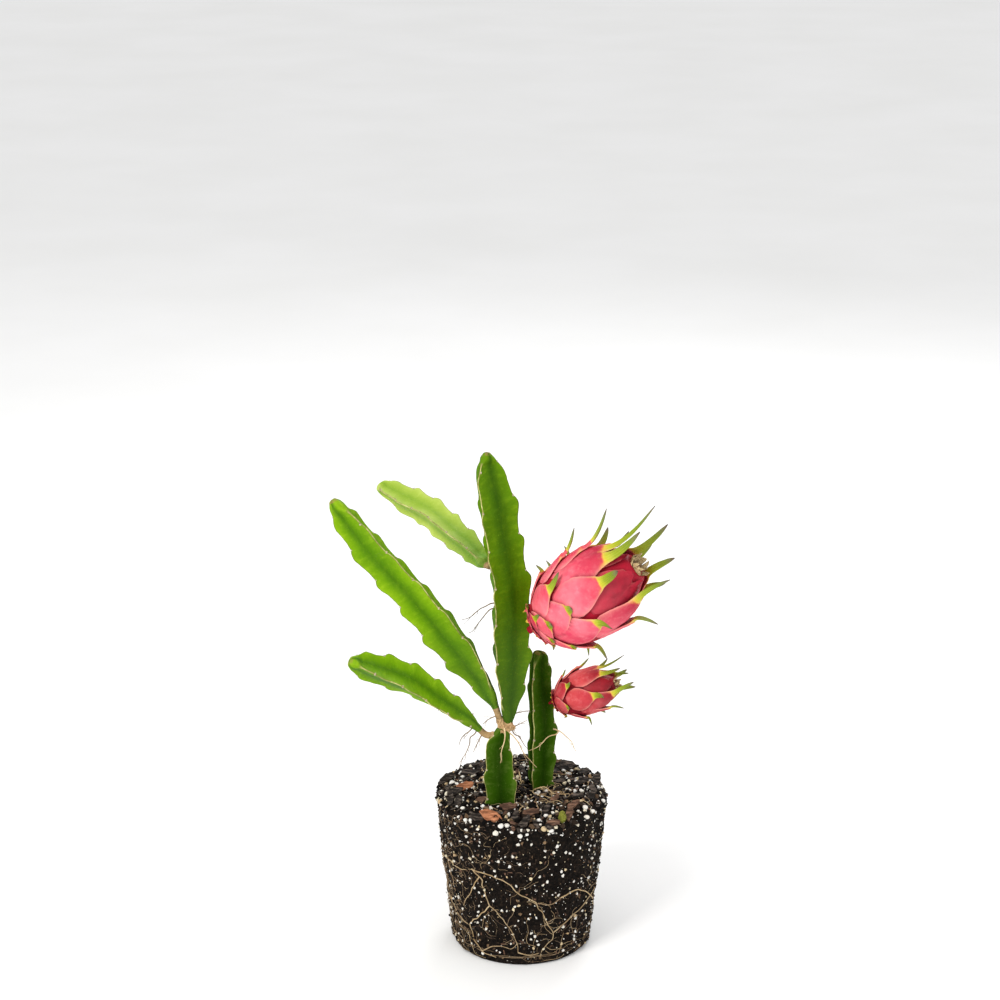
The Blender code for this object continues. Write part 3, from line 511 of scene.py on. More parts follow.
def stem_finish(name, zones, deep, light, rough_range, scars, shine, base=None):
    """A stem's skin: colours from groove to margin, ripples, a horny edge, a corky start, scars.

    zones are colour stops over the wing number, deep and light are the mottling's tones, and
    base is the tone that a stem has near its start.
    """
    made, tree, shader = finish_material(name)
    wing, along, bark_number, rim = (attribute(tree, label) for label in ("wing", "along", "bark", "rim"))
    # the flesh: zones darker toward the groove, partly painted shade in the grooves and partly
    # the thicker skin there, then dark patches, ripples and pale streaks
    wander = times(tree, around_zero(tree, cloud(tree, 90.0)), 0.14)
    colour = ramp(tree, plus(tree, wing, wander), zones)
    shade = span(tree, cloud(tree, 30.0, 4.0), 0.38, 0.70, 0.0, 0.55)
    colour = mix(tree, shade, colour, deep)
    bars = span(tree, ripple_noise(tree), 0.50, 0.72)
    bars = times(tree, bars, span(tree, wing, 0.25, 0.8, 0.1, 0.55))
    colour = mix(tree, bars, colour, light)
    streak = span(tree, cloud(tree, 42.0, 5.0, 0.6, (4.0, 4.0, 0.6)), 0.50, 0.75, 0.0, 0.14)
    colour = mix(tree, streak, colour, light)
    if base:
        colour = mix(tree, span(tree, along, 0.5, 0.0, 0.0, 0.80), colour, base)
    fleck = span(tree, cloud(tree, 1300.0, 2.0), 0.67, 0.73, 0.0, 0.30)
    colour = mix(tree, fleck, colour, toned(light, 1.8, 0.02))
    # the margin: a dark line and a horny one
    edge_place = plus(tree, wing, times(tree, around_zero(tree, cloud(tree, 300.0)), 0.03))
    dark_line = times(tree, span(tree, edge_place, 0.948, 0.966, 0.0, 0.60), rim)
    colour = mix(tree, dark_line, colour, (0.040, 0.035, 0.008))
    horn_line = times(tree, span(tree, edge_place, 0.982, 0.993), rim)
    horn = mottle(tree, (0.64, 0.64, 0.25), (0.36, 0.31, 0.09), 260.0, 900.0, 0.6)
    broken = span(tree, cloud(tree, 75.0, 3.0), 0.34, 0.56, 0.35, 0.95)
    colour = mix(tree, times(tree, horn_line, broken), colour, horn)
    # the dried tip, the corky start and the scars
    crust = span(tree, cloud(tree, 420.0), 0.40, 0.55, 0.0, 0.85)
    crust = times(tree, span(tree, along, 0.988, 0.997), crust)
    colour = mix(tree, crust, colour, (0.30, 0.17, 0.07))
    bark = mottle(tree, CORK, toned(CORK, 0.40), 150.0, 900.0, 0.7)
    bark_edge = span(tree, plus(tree, bark_number, times(tree, wander, 2.5)), 0.38, 0.62)
    colour = mix(tree, bark_edge, colour, bark)
    scar = span(tree, cloud(tree, 60.0, 6.0, 0.7), 0.69, 0.76, 0.0, scars)
    colour = mix(tree, scar, colour, mottle(tree, (0.42, 0.35, 0.20), (0.14, 0.10, 0.05), 300.0))
    gloss = span(tree, cloud(tree, 120.0), 0.3, 0.7, *rough_range)
    gloss = plus(tree, gloss, times(tree, bark_edge, 0.3), True)
    feed(tree, shader, colour, gloss, shine)
    skin = plus(tree, grain_height(tree, 1400.0, 0.5), times(tree, cloud(tree, 320.0), 0.7))
    skin = plus(tree, skin, times(tree, ripple_noise(tree), 2.2))
    rind = times(tree, plus(tree, bark_edge, scar, True), times(tree, cloud(tree, 460.0, 6.0, 0.8), 4.0))
    bump(tree, shader, plus(tree, skin, rind), 0.45, 0.0006)
    return made


young_skin = stem_finish(
    "young_stem_skin",
    [(0.0, (0.030, 0.088, 0.0006)), (0.20, (0.045, 0.118, 0.0007)), (0.50, (0.078, 0.178, 0.001)),
     (0.85, (0.098, 0.215, 0.0015)), (0.95, (0.120, 0.240, 0.003))],
    (0.048, 0.122, 0.0007), (0.185, 0.330, 0.006), (0.45, 0.60), 0.12, 0.05, base=(0.030, 0.070, 0.008))
low_skin = stem_finish(
    "low_stem_skin",
    [(0.0, (0.052, 0.146, 0.0010)), (0.20, (0.080, 0.200, 0.0015)), (0.50, (0.142, 0.300, 0.002)),
     (0.85, (0.198, 0.370, 0.004)), (0.95, (0.225, 0.390, 0.008))],
    (0.072, 0.195, 0.0015), (0.280, 0.460, 0.014), (0.45, 0.60), 0.16, 0.05, base=(0.040, 0.092, 0.012))
pale_skin = stem_finish(
    "pale_stem_skin",
    [(0.0, (0.215, 0.355, 0.030)), (0.25, (0.290, 0.430, 0.045)), (0.6, (0.400, 0.520, 0.075)),
     (0.85, (0.480, 0.590, 0.115)), (0.95, (0.530, 0.620, 0.150))],
    (0.220, 0.370, 0.024), (0.500, 0.630, 0.120), (0.45, 0.60), 0.08, 0.05, base=(0.090, 0.240, 0.015))
old_skin = stem_finish(
    "old_stem_skin",
    [(0.0, (0.0105, 0.034, 0.0012)), (0.3, (0.0185, 0.055, 0.0018)), (0.7, (0.032, 0.084, 0.003)),
     (0.9, (0.048, 0.112, 0.006)), (0.95, (0.070, 0.135, 0.012))],
    (0.013, 0.034, 0.0015), (0.105, 0.160, 0.028), (0.50, 0.66), 0.50, 0.0)
print("stem finishes:", young_skin.name, low_skin.name, pale_skin.name, old_skin.name)

# %% [markdown]
# ## The stems' numbers
#
# These are the same numbers that the solids are made from. A stem has its middle line, the
# wings' reach along it, the turn of the first wing, and for each wing the place of its first
# areole and the pitch to the next. Valley says how far out the grooves lie, and lean by how
# many degrees each wing stands off an even spacing.

# %% Stem numbers
FRONT = np.array([0.0, -0.949, 0.316])  # the side that the shoots turn their facing ribs to
WING_EDGE = 0.6  # half a wing's thickness at its margin
CORE_RADIUS = 3.8
HUMP_SHARE = 0.16  # how far a margin swells between two areoles, as a share of the reach
NECK_REACH = 5.0
NECK_FADE = 7.0
HUMP_REACH = 6.0

STEMS = {
    "left_cutting": {
        "line": [(-18.2, -30, 97), (-18.2, -30, 143.6), (-19.1, -30, 167.2), (-19.9, -30, 192.5),
            (-16.8, -30, 207), (-15.0, -30, 212)],
        "reach": [(0, 10), (25, 14.5), (50, 16.4), (70, 16.6), (95, 13.8), (104, 11.5), (111, 7.5),
            (116, 5)],
        "turn": [(0, 30)], "areoles": [(70, 28), (51, 28), (64, 28)], "valley": 0.46, "lean": (0, 0, 0),
    },
    "right_cutting": {
        "line": [(14.9, 0, 97), (14.8, 0, 143.8), (14.6, 0, 167.7), (15.4, 0, 196.1), (13.6, 1, 233.2),
            (13.9, 2, 256.0), (15.3, 2, 268.9)],
        "reach": [(0, 9), (25, 12.5), (47, 14.4), (71, 16.1), (99, 16), (136, 14.3), (159, 11.6), (168, 8),
            (172, 4.5)],
        "turn": [(0, -8)],
        "areoles": [(50, 27.5), (67, 27.5), (58, 27.5)], "valley": 0.46, "lean": (0, 0, 0),
    },
    "shoot_tall": {
        "line": [(-11.4, -30, 211.5), (-12.0, -29.8, 221), (-11.8, -28.5, 250), (-12.9, -27, 294.2),
            (-13.8, -24, 339), (-19.8, -22, 374), (-25.6, -20, 413), (-28.8, -19, 430.1),
            (-30.2, -18, 454.2)],
        "reach": [(0, 3.4), (5, 3.8), (16, 8.3), (37, 15.9), (61, 21), (83, 22), (203, 21.7), (220, 17.6),
            (235, 10.8), (244, 2.6)],
        "turn": [(0, -6)],
        "areoles": [(39, 32.8), (30.2, 33.2), (39.6, 32.5)], "valley": 0.36, "lean": (0, 7, 0),
    },
    "shoot_left": {
        "line": [(-17.5, -30.8, 211.5), (-19.3, -31, 219), (-21.9, -31.2, 228), (-38.6, -33, 261.2),
            (-68.2, -38, 306.4), (-95, -42, 342), (-122.8, -46, 375.6), (-156.9, -52, 423.7)],
        "reach": [(0, 3.0), (16, 3.0), (22.3, 3.6), (34, 7.9), (52, 12.4), (74, 18.9), (106, 20.6),
            (150, 18.8), (196, 17.8), (232, 14), (251, 6.6), (257, 2.6)],
        "turn": [(0, 188)],
        "areoles": [(47, 32.8), (51.5, 31.3), (62, 33.2)], "valley": 0.36, "lean": (0, 3, -12),
    },
    "shoot_low": {
        "line": [(-20.5, -30.5, 206.5), (-24.5, -30.6, 204.6), (-30.2, -31, 205), (-37.8, -33, 212.4),
            (-45.4, -36, 220.2), (-68.1, -42, 239.3), (-94.6, -50, 260.6), (-119.2, -57, 273.6),
            (-134.5, -61, 281), (-144.6, -64, 286.5)],
        "reach": [(0, 3.0), (18, 3.0), (25, 4), (33, 6.7), (49, 12.1), (75, 15.8), (101, 18.3), (124, 17.8),
            (143, 13.4), (157, 2.8)],
        "turn": [(0, -5), (50, -6), (80, -10), (109, -15), (138, -22), (157, -31)],
        "areoles": [(33.5, 23.2), (31, 25.8), (30, 28)], "valley": 0.36, "lean": (0, 0, 0),
    },
    "shoot_upper": {
        "line": [(-27.9, -8.1, 349.7), (-30.2, -5.2, 349.8), (-34.7, -1.5, 352.9), (-41.5, 3.2, 358.6),
            (-63.4, 22, 371.8), (-81, 42, 380), (-99.6, 60, 384.4), (-123.7, 80, 392.5)],
        "reach": [(0, 2.6), (4, 3), (8, 7), (13, 10.5), (21, 13), (34, 15), (59, 16.9), (84, 16.9),
            (110, 16.3), (132, 10.7), (142.5, 2.6)],
        "turn": [(0, -25), (71, -20), (142, -14)],
        "areoles": [(16.5, 23.3), (23.5, 21.3), (27.4, 23.4)], "valley": 0.34, "lean": (0, 0, 0),
    },
}
# %% [markdown]
# ## Three-winged stems
#
# A stem could be a swept curve, but its scalloped margins swell slowly from one areole and
# fall steeply to the next, each wing at its own places. So each ring is worked out on its
# own: three wings, each with fleshy flanks that thin out towards a rounded margin, and
# grooves that a little smoothing keeps round. Rings stand every 1.2 mm, fine enough for the
# sharp notch at each areole.

# %% Stem rings
RING_GAP = 1.2
FLANK = (0.0, 0.05, 0.12, 0.2, 0.3, 0.42, 0.55, 0.68, 0.8, 0.9, 0.97)  # from groove to margin
FLANK_POWER = 1.74  # how fast a flank thins: 0.3 of the foot's thickness is left half way
TIP_ANGLES = (35, 68)
ROUNDING = 5  # smoothing passes over the grooves
BEND = 0.7  # how far a wing's margin sways to its side, in millimetres


def stem_frame(path, s):
    """The stem's direction, its right and its front at length s."""
    ahead = path.along(s)
    front = unit(FRONT - ahead * (ahead @ FRONT)[..., None])
    return ahead, np.cross(ahead, front), front


def areole_places(stem, wing, length):
    """Where along the stem this wing has its areoles."""
    first, pitch = stem["areoles"][wing]
    places = np.arange(first, length - 4, pitch)
    return [s for s in places if between(stem["reach"], s) > 6]


def wing_reach(stem, wing, s):
    """The reach of a wing's scalloped margin at place s."""
    first, pitch = stem["areoles"][wing]
    whole = between(stem["reach"], s)
    hump = np.sin(np.pi * (((s - first) / pitch) % 1.0) ** 3)
    return whole * (1 - HUMP_SHARE * ease((whole - NECK_REACH) / HUMP_REACH) * (1 - hump))


def wing_turn(stem, wing, s):
    """The angle of a wing round the stem at place s, in degrees; wing 0.5 is a groove."""
    lean = (stem["lean"][int(wing) % 3] + stem["lean"][int(wing + 0.5) % 3]) / 2
    return between(stem["turn"], s) + 120 * wing + lean


def wing_axis(stem, wing, path, s):
    """The direction of a wing away from the stem's middle line at place s."""
    angle = np.radians(wing_turn(stem, wing, s))
    _, right, front = stem_frame(path, s)
    return right * np.cos(angle) + front * np.sin(angle)


def flank_points(valley, half_angle, shoulder, edge):
    """One side of a wing from its groove to its margin: (distance out, half width, wing number)."""
    foot, foot_width = valley * math.cos(half_angle), valley * math.sin(half_angle)
    points = []
    for t in FLANK:
        far = foot + (shoulder - foot) * t
        points.append((far, edge + (foot_width - edge) * (1 - t) ** FLANK_POWER, t * 0.97))
    for angle in TIP_ANGLES:
        a = math.radians(angle)
        points.append((shoulder + 0.7 * edge * math.sin(a), edge * math.cos(a), 0.97 + 0.03 * math.sin(a)))
    return points


def stem_ring(stem, path, s):
    """The points of one ring, how far out on its wing each lies, its side, and the neck's share."""
    centre = path.at(s)
    whole = between(stem["reach"], s)
    valley = max(stem["valley"] * whole, min(0.95 * whole, CORE_RADIUS))
    neck = 1 - ease((whole - NECK_REACH) / NECK_FADE)
    edge = WING_EDGE + max(0.45 * whole - WING_EDGE, 0) * neck
    flat, far_out, sides = [], [], []
    for wing in range(3):
        turn = math.radians(wing_turn(stem, wing, s))
        before = turn - math.radians(wing_turn(stem, wing + 2.5, s) - 360)
        after = math.radians(wing_turn(stem, wing + 0.5, s)) - turn
        reach = wing_reach(stem, wing, s) + 0.25 * rough((s, wing * 31.0, 0), 4.0)
        bend = BEND * rough((s, wing * 31.0, 9), 26.0) * (1 - neck)
        shoulder = reach - 0.7 * edge
        left, right = (flank_points(valley, half, shoulder, edge) for half in (before, after))
        line = [(far, -wide, t) for far, wide, t in left] + [(reach, 0.0, 1.0)]
        line += [(far, wide, t) for far, wide, t in reversed(right)][:-1]
        for far, wide, t in line:
            sides.append(3.0 * wing + (1.5 if wide > 0 else 0.0))
            wide += bend * t * t
            flat.append((far * math.cos(turn) - wide * math.sin(turn),
                         far * math.sin(turn) + wide * math.cos(turn)))
            far_out.append(t)
    flat, far_out = np.array(flat), np.array(far_out)
    soft = np.clip(1 - far_out / 0.3, 0, 1)[:, None] * 0.8
    for _ in range(ROUNDING):
        flat += soft * (0.5 * (np.roll(flat, 1, 0) + np.roll(flat, -1, 0)) - flat)
    if neck > 0:
        around = flat / np.linalg.norm(flat, axis=1)[:, None] * whole * 0.93
        flat += (around - flat) * neck * 0.7
    _, right, front = stem_frame(path, s)
    return centre + flat[:, :1] * right + flat[:, 1:] * front, far_out, np.array(sides), neck


BARK_LENGTHS = {"shoot_tall": 5.0, "shoot_left": 20.0, "shoot_low": 19.0, "shoot_upper": 4.5}
BARK_FADE = 5.0
TIP_GAP = 1.3  # the last ring stands this far below the tip's rounded cap
STEM_NUMBERS = ("wing", "side", "along", "run", "bark", "rim")


def stem_piece(name, made):
    """A stem's mesh, with its numbers for the skin stored on it."""
    stem = STEMS[name]
    path = Path(stem["line"])
    rows = round(path.length / RING_GAP)
    rings, stores = [], {label: [] for label in STEM_NUMBERS}
    corky = BARK_LENGTHS.get(name, -BARK_FADE)
    for s in np.linspace(0.0, path.length - TIP_GAP, rows + 1):
        ring, far_out, sides, neck = stem_ring(stem, path, s)
        rings.append(ring)
        bark = 1 - ease((s - corky + 0.5 * BARK_FADE) / BARK_FADE)
        values = (far_out, sides, s / path.length, s, bark, max(0, 1 - 2.5 * neck))
        for label, value in zip(STEM_NUMBERS, values):
            stores[label].append(np.broadcast_to(value, len(ring)))
    for end, way in ((0, -1), (-1, 1)):  # round both ends
        edge_ring = rings[end]
        middle, ahead = edge_ring.mean(0), path.along(0 if end == 0 else path.length)
        for size, rise in ((0.86, 0.45), (0.5, 0.9)):
            place = 0 if end == 0 else len(rings)
            rings.insert(place, middle + (edge_ring - middle) * size + ahead * way * rise)
            for kept in stores.values():
                kept.insert(place, kept[end])
    count = len(rings[0])
    verts = capped(rings)
    numbers = {label: np.concatenate(kept + [kept[0][:1], kept[-1][:1]]) for label, kept in stores.items()}
    for i in range(len(rings) * count):
        verts[i] += 0.22 * rough(verts[i], 7.0) * unit(verts[i] - rings[i // count].mean(0))
    return outward(new_piece(name + "_flesh", verts, loft_faces(len(rings), count), [made], numbers))


STEM_SKINS = {"left_cutting": (old_skin, "old_stem"), "right_cutting": (old_skin, "old_stem"),
              "shoot_tall": (young_skin, "young_stem"), "shoot_left": (low_skin, "young_stem"),
              "shoot_low": (low_skin, "young_stem"), "shoot_upper": (pale_skin, "pale_stem")}
for stem_name, (skin_made, skin_slot) in STEM_SKINS.items():
    place_piece(stem_piece(stem_name, skin_made), skin_slot, stem_name)

# %% [markdown]
# ## Areoles and spines
#
# Along every margin, in each notch, sits an areole: a small felt cushion with a few short
# spines. They repeat by rule, so Geometry Nodes place them. Each areole is one point that
# carries the direction it faces. The tree sets a flattened bead and four cones on every
# point, with a fixed seed for the spread of the spines.

# %% Tree helpers for geometry nodes
def new_tree(name, inputs):
    """An empty geometry tree with a mesh input and named number inputs: (name, type, value)."""
    tree = bpy.data.node_groups.new(name, "GeometryNodeTree")
    tree.interface.new_socket("Geometry", in_out="INPUT", socket_type="NodeSocketGeometry")
    for label, kind, value in inputs:
        socket = tree.interface.new_socket(label, in_out="INPUT", socket_type=kind)
        socket.default_value = value
    tree.interface.new_socket("Geometry", in_out="OUTPUT", socket_type="NodeSocketGeometry")
    start = tree.nodes.new("NodeGroupInput")
    end = tree.nodes.new("NodeGroupOutput")
    return tree, start.outputs, end.inputs["Geometry"]


def bake_tree(obj, tree, values=None):
    """Runs a geometry tree on an object and leaves its plain result as the object's mesh."""
    modifier = obj.modifiers.new("nodes", "NODES")
    modifier.node_group = tree
    for item in tree.interface.items_tree:
        if item.in_out == "INPUT" and item.name in (values or {}):
            modifier[item.identifier] = values[item.name]
    graph = bpy.context.evaluated_depsgraph_get()
    mesh = bpy.data.meshes.new_from_object(obj.evaluated_get(graph))
    obj.modifiers.clear()
    obj.data = mesh
    return obj


def random_value(tree, low, high, seed, kind="FLOAT"):
    """A Random Value node's result for the type asked for."""
    start, end, result = {"FLOAT": (2, 3, 1), "FLOAT_VECTOR": (0, 1, 0)}[kind]
    inputs = {start: low, end: high, "Seed": seed}
    return add(tree, "FunctionNodeRandomValue", inputs, data_type=kind).outputs[result]


def geo(tree, kind, inputs=None, **settings):
    """The first result of a Geometry Nodes node."""
    return add(tree, "GeometryNode" + kind, inputs, **settings).outputs[0]


def stored_number(tree, name, kind="FLOAT"):
    """What a mesh has stored under a name."""
    return geo(tree, "InputNamedAttribute", {"Name": name}, data_type=kind)


def real(tree, geometry, made):
    """Instances made real, with their material."""
    geometry = geo(tree, "RealizeInstances", {"Geometry": geometry})
    return geo(tree, "SetMaterial", {"Geometry": geometry, "Material": made})


# %% Finishes of the areoles
felt, tree, shader = finish_material("areole_felt")
feed(tree, shader, mottle(tree, (0.66, 0.58, 0.42), (0.30, 0.22, 0.13), 700.0, 3000.0, 0.8), 0.95)
bump(tree, shader, cloud(tree, 3000.0, 3.0), 0.8, 0.0004)

horn, tree, shader = finish_material("spine_horn")
feed(tree, shader, mottle(tree, (0.34, 0.22, 0.11), (0.09, 0.055, 0.03), 900.0, 4000.0, 0.5), 0.5)
bump(tree, shader, cloud(tree, 2500.0), 0.4, 0.0002)

# %% The areole tree
SPINES = ((38, 20), (52, 118), (44, 205), (60, 300))  # each one's tilt and turn in degrees
CUSHION_SHAPE = (1.0, 1.3, 0.62)
areole_tree, given, result = new_tree(
    "areoles", [("Cushion", NUMBER, 1.0 * MM), ("Spine Length", NUMBER, 2.6 * MM),
                ("Spine Radius", NUMBER, 0.24 * MM)])
facing = stored_number(areole_tree, "facing", "FLOAT_VECTOR")
turned = add(areole_tree, "FunctionNodeAlignRotationToVector", {"Vector": facing}, axis="Z").outputs[0]


def on_areoles(shape, rotation, scale, made):
    """A shape set on every point, in its material."""
    inputs = {"Points": given["Geometry"], "Instance": shape, "Rotation": rotation, "Scale": scale}
    return real(areole_tree, geo(areole_tree, "InstanceOnPoints", inputs), made)


bead = geo(areole_tree, "MeshUVSphere", {"Segments": 10, "Rings": 6, "Radius": given["Cushion"]})
branches = [on_areoles(bead, turned, CUSHION_SHAPE, felt)]
for number, (tilt, turn) in enumerate(SPINES):
    sizes = {"Radius Top": 0.0, "Radius Bottom": given["Spine Radius"], "Depth": given["Spine Length"]}
    cone = geo(areole_tree, "MeshCone", {"Vertices": 6, **sizes}, fill_type="NGON")
    lean = random_value(areole_tree, math.radians(tilt - 14), math.radians(tilt + 12), 10 + number)
    spin = random_value(areole_tree, math.radians(turn - 25), math.radians(turn + 25), 20 + number)
    angles = add(areole_tree, "ShaderNodeCombineXYZ", {"X": lean, "Z": spin}).outputs[0]
    bent = add(areole_tree, "FunctionNodeEulerToRotation", {0: angles}).outputs[0]
    aim = add(areole_tree, "FunctionNodeRotateRotation", {"Rotation": turned, "Rotate By": bent},
              rotation_space="LOCAL").outputs[0]
    branches.append(on_areoles(cone, aim, random_value(areole_tree, 0.6, 1.15, 30 + number), horn))
gathered = areole_tree.nodes.new("GeometryNodeJoinGeometry")
for branch in branches:
    areole_tree.links.new(branch, gathered.inputs["Geometry"])
areole_tree.links.new(gathered.outputs["Geometry"], result)


# %% Place the areoles
AREOLE_SUNK = 0.35  # how deep a cushion sits in its notch


def areole_piece(name):
    """The areoles of one stem, each facing out and a little up the stem."""
    stem = STEMS[name]
    path = Path(stem["line"])
    points, ways = [], []
    for wing in range(3):
        for s in areole_places(stem, wing, path.length):
            out = wing_axis(stem, wing, path, s)
            points.append(path.at(s) + out * (wing_reach(stem, wing, s) - AREOLE_SUNK))
            ways.append(unit(out + 0.45 * path.along(s)))
    obj = new_piece(name + "_areoles", points, [], [felt, horn], smooth=False)
    facing_store = obj.data.attributes.new("facing", "FLOAT_VECTOR", "POINT")
    facing_store.data.foreach_set("vector", np.array(ways, dtype=np.float32).ravel())
    return bake_tree(obj, areole_tree), len(points)


for stem_name, (_, skin_slot) in STEM_SKINS.items():
    piece, number = areole_piece(stem_name)
    print(stem_name, "has", number, "areoles")
    place_piece(piece, skin_slot)

# %% [markdown]
# ## The woody crown
#
# The left cutting ends in a knot of tan wood, where three of the shoots were pushed out. It
# is lumpy and has no plain section, so it is put together from a lump and short arms, melted
# into one skin by a voxel remesh, and made uneven with noise.

# %% Tubes by geometry nodes
tube_tree, given, result = new_tree(
    "tube along a path", [("Sides", "NodeSocketInt", 8), ("Spacing", NUMBER, 1.2 * MM)])
line = geo(tube_tree, "MeshToCurve", {"Mesh": given["Geometry"]})
line = geo(tube_tree, "ResampleCurve", {"Curve": line, "Length": given["Spacing"]}, mode="LENGTH")
profile = geo(tube_tree, "CurvePrimitiveCircle", {"Resolution": given["Sides"], "Radius": 1.0})
thick = stored_number(tube_tree, "thick")
tube = geo(tube_tree, "CurveToMesh",
           {"Curve": line, "Profile Curve": profile, "Scale": thick, "Fill Caps": True})
tube = geo(tube_tree, "RealizeInstances", {"Geometry": tube})
tube = geo(tube_tree, "SetShadeSmooth", {"Geometry": tube})

root_skin, tree, shader = finish_material("root_skin")
dry = mottle(tree, (0.76, 0.59, 0.34), (0.46, 0.30, 0.14), 160.0, 1200.0, 0.7)
brown = mottle(tree, (0.20, 0.130, 0.090), (0.080, 0.050, 0.034), 160.0, 1200.0, 0.7)
feed(tree, shader, mix(tree, attribute(tree, "kind"), dry, brown), 0.75, 0.2)
bump(tree, shader, cloud(tree, 1500.0, 5.0, 0.7), 0.7, 0.0004)
tube_tree.links.new(geo(tube_tree, "SetMaterial", {"Geometry": tube, "Material": root_skin}), result)


def tube_piece(name, lines, sides=8, spacing=1.2):
    """Round roots along smooth lines: each line is (points, radii at both ends, kind of colour)."""
    verts, edges, thicks, kinds = [], [], [], []
    for points, (first, last), kind in lines:
        path = Path(points)
        count = max(3, round(path.length / spacing))
        start = len(verts)
        for s in np.linspace(0, path.length, count + 1):
            verts.append(path.at(s))
            thicks.append((first + (last - first) * (s / path.length)) * MM)
            kinds.append(kind)
        edges += [(start + k, start + k + 1) for k in range(count)]
    obj = new_piece(name, verts, [], [], {"thick": thicks, "kind": kinds}, False, edges)
    return bake_tree(obj, tube_tree, {"Sides": sides, "Spacing": spacing * MM})


# %% Make the crown
CROWN_CENTRE = np.array([-14.6, -30.0, 211.4])
CROWN_HALVES = np.array([6.0, 5.2, 4.9])
ARMS = [  # middle lines and radii at both ends
    ([(-16.0, -30, 206.5), (-22.5, -30.4, 204.8), (-27.0, -31, 204.8)], (3.6, 3.3)),
    ([(-16.5, -30.4, 210), (-18.4, -30.9, 216), (-19.8, -31.1, 221)], (3.6, 3.1)),
    ([(-11.8, -30, 209.5), (-11.9, -29.8, 213.5), (-12.0, -29.6, 217.5)], (4.2, 4.0)),
    ([(-8.5, -29.0, 209), (-6.6, -28.4, 212.5)], (2.2, 1.2)),
    ([(-18.5, -32.0, 208.5), (-20.0, -33.5, 210.5)], (2.2, 1.2)),
]
KNOTS = [  # offsets from the centre and radii
    (4.0, -3.0, 2.0, 2.2), (-2.5, -3.8, -2.0, 2.2), (0.5, -4.0, 3.0, 1.9), (4.6, 1.0, 3.0, 2.1),
    (-4.5, -2.5, 2.5, 2.0), (1.5, 3.4, 1.5, 2.4),
]
VOXEL = 0.35 * MM
FIBRE_PULL = 0.28  # the fibres are this much denser across than along

wood, tree, shader = finish_material("crown_wood")
colour = mottle(tree, (0.70, 0.48, 0.25), (0.38, 0.23, 0.10), 260.0, 1200.0, 0.8)
# dark lines along the fibres: painted shade of creases
crease_shade = span(tree, cloud(tree, 620.0, 5.0, 0.7, (1.0, 1.0, FIBRE_PULL)), 0.50, 0.64, 0.0, 0.7)
feed(tree, shader, mix(tree, crease_shade, colour, (0.12, 0.065, 0.03)), 0.8, 0.2)
bump(tree, shader, cloud(tree, 520.0, 6.0, 0.75, (1.0, 1.0, 0.4)), 0.9, 0.0012)


def ball_points(centre, halves, rows=10, count=18):
    """Vertices and faces of a closed ellipsoid."""
    rings = []
    for row in range(1, rows):
        lift = math.pi * row / rows
        turn = np.linspace(0, math.tau, count, endpoint=False)
        flat = np.stack([np.cos(turn), np.sin(turn)], axis=1) * math.sin(lift)
        rings.append(centre + np.column_stack([flat, np.full(count, -math.cos(lift))]) * halves)
    poles = centre + np.array([[0, 0, -halves[2]], [0, 0, halves[2]]])
    return np.vstack(rings + [poles]), loft_faces(rows - 1, count)


def crown_piece():
    """The crown's lump, knots and arms, melted together and roughened."""
    parts = [new_piece("crown_lump", *ball_points(CROWN_CENTRE, CROWN_HALVES), [])]
    parts.append(tube_piece("crown_arms", [(points, radii, 0.0) for points, radii in ARMS], sides=14))
    for number, (*off, radius) in enumerate(KNOTS):
        ball = ball_points(CROWN_CENTRE + np.array(off), np.full(3, radius), 8, 12)
        parts.append(new_piece(f"crown_knot_{number}", *ball, []))
    with bpy.context.temp_override(active_object=parts[0], object=parts[0],
                                   selected_objects=parts, selected_editable_objects=parts):
        bpy.ops.object.join()
    body = parts[0]
    body.name = "woody_crown"
    remesh = body.modifiers.new("melt", "REMESH")
    remesh.mode = "VOXEL"
    remesh.voxel_size = VOXEL
    graph = bpy.context.evaluated_depsgraph_get()
    mesh = bpy.data.meshes.new_from_object(body.evaluated_get(graph))
    body.modifiers.clear()
    body.data = mesh
    shape = bmesh.new()
    shape.from_mesh(mesh)
    for _ in range(4):
        bmesh.ops.smooth_vert(shape, verts=shape.verts, factor=0.5, use_axis_x=True,
                              use_axis_y=True, use_axis_z=True)
    shape.normal_update()
    for vert in shape.verts:
        place = np.array(vert.co) / MM
        grooved = place * np.array([1, 1, FIBRE_PULL])
        fibres = 0.55 * rough(grooved, 1.5) + 0.45 * rough(grooved * 2.3, 1.5)
        vert.co += vert.normal * (fibres + 0.25 * rough(place, 1.0) - 0.1) * MM
    shape.to_mesh(mesh)
    shape.free()
    mesh.materials.clear()
    mesh.materials.append(wood)
    mesh.shade_smooth()
    return body


place_piece(crown_piece(), "old_stem", "left_cutting")

# %% [markdown]
# ## Aerial roots
#
# Climbing cactuses push thin wiry roots out of their stems. Each follows a drawn line, so
# the tube tree above sweeps a circle along it and thins it towards its tip. A few finer side
# roots branch off by chance, with a fixed seed.

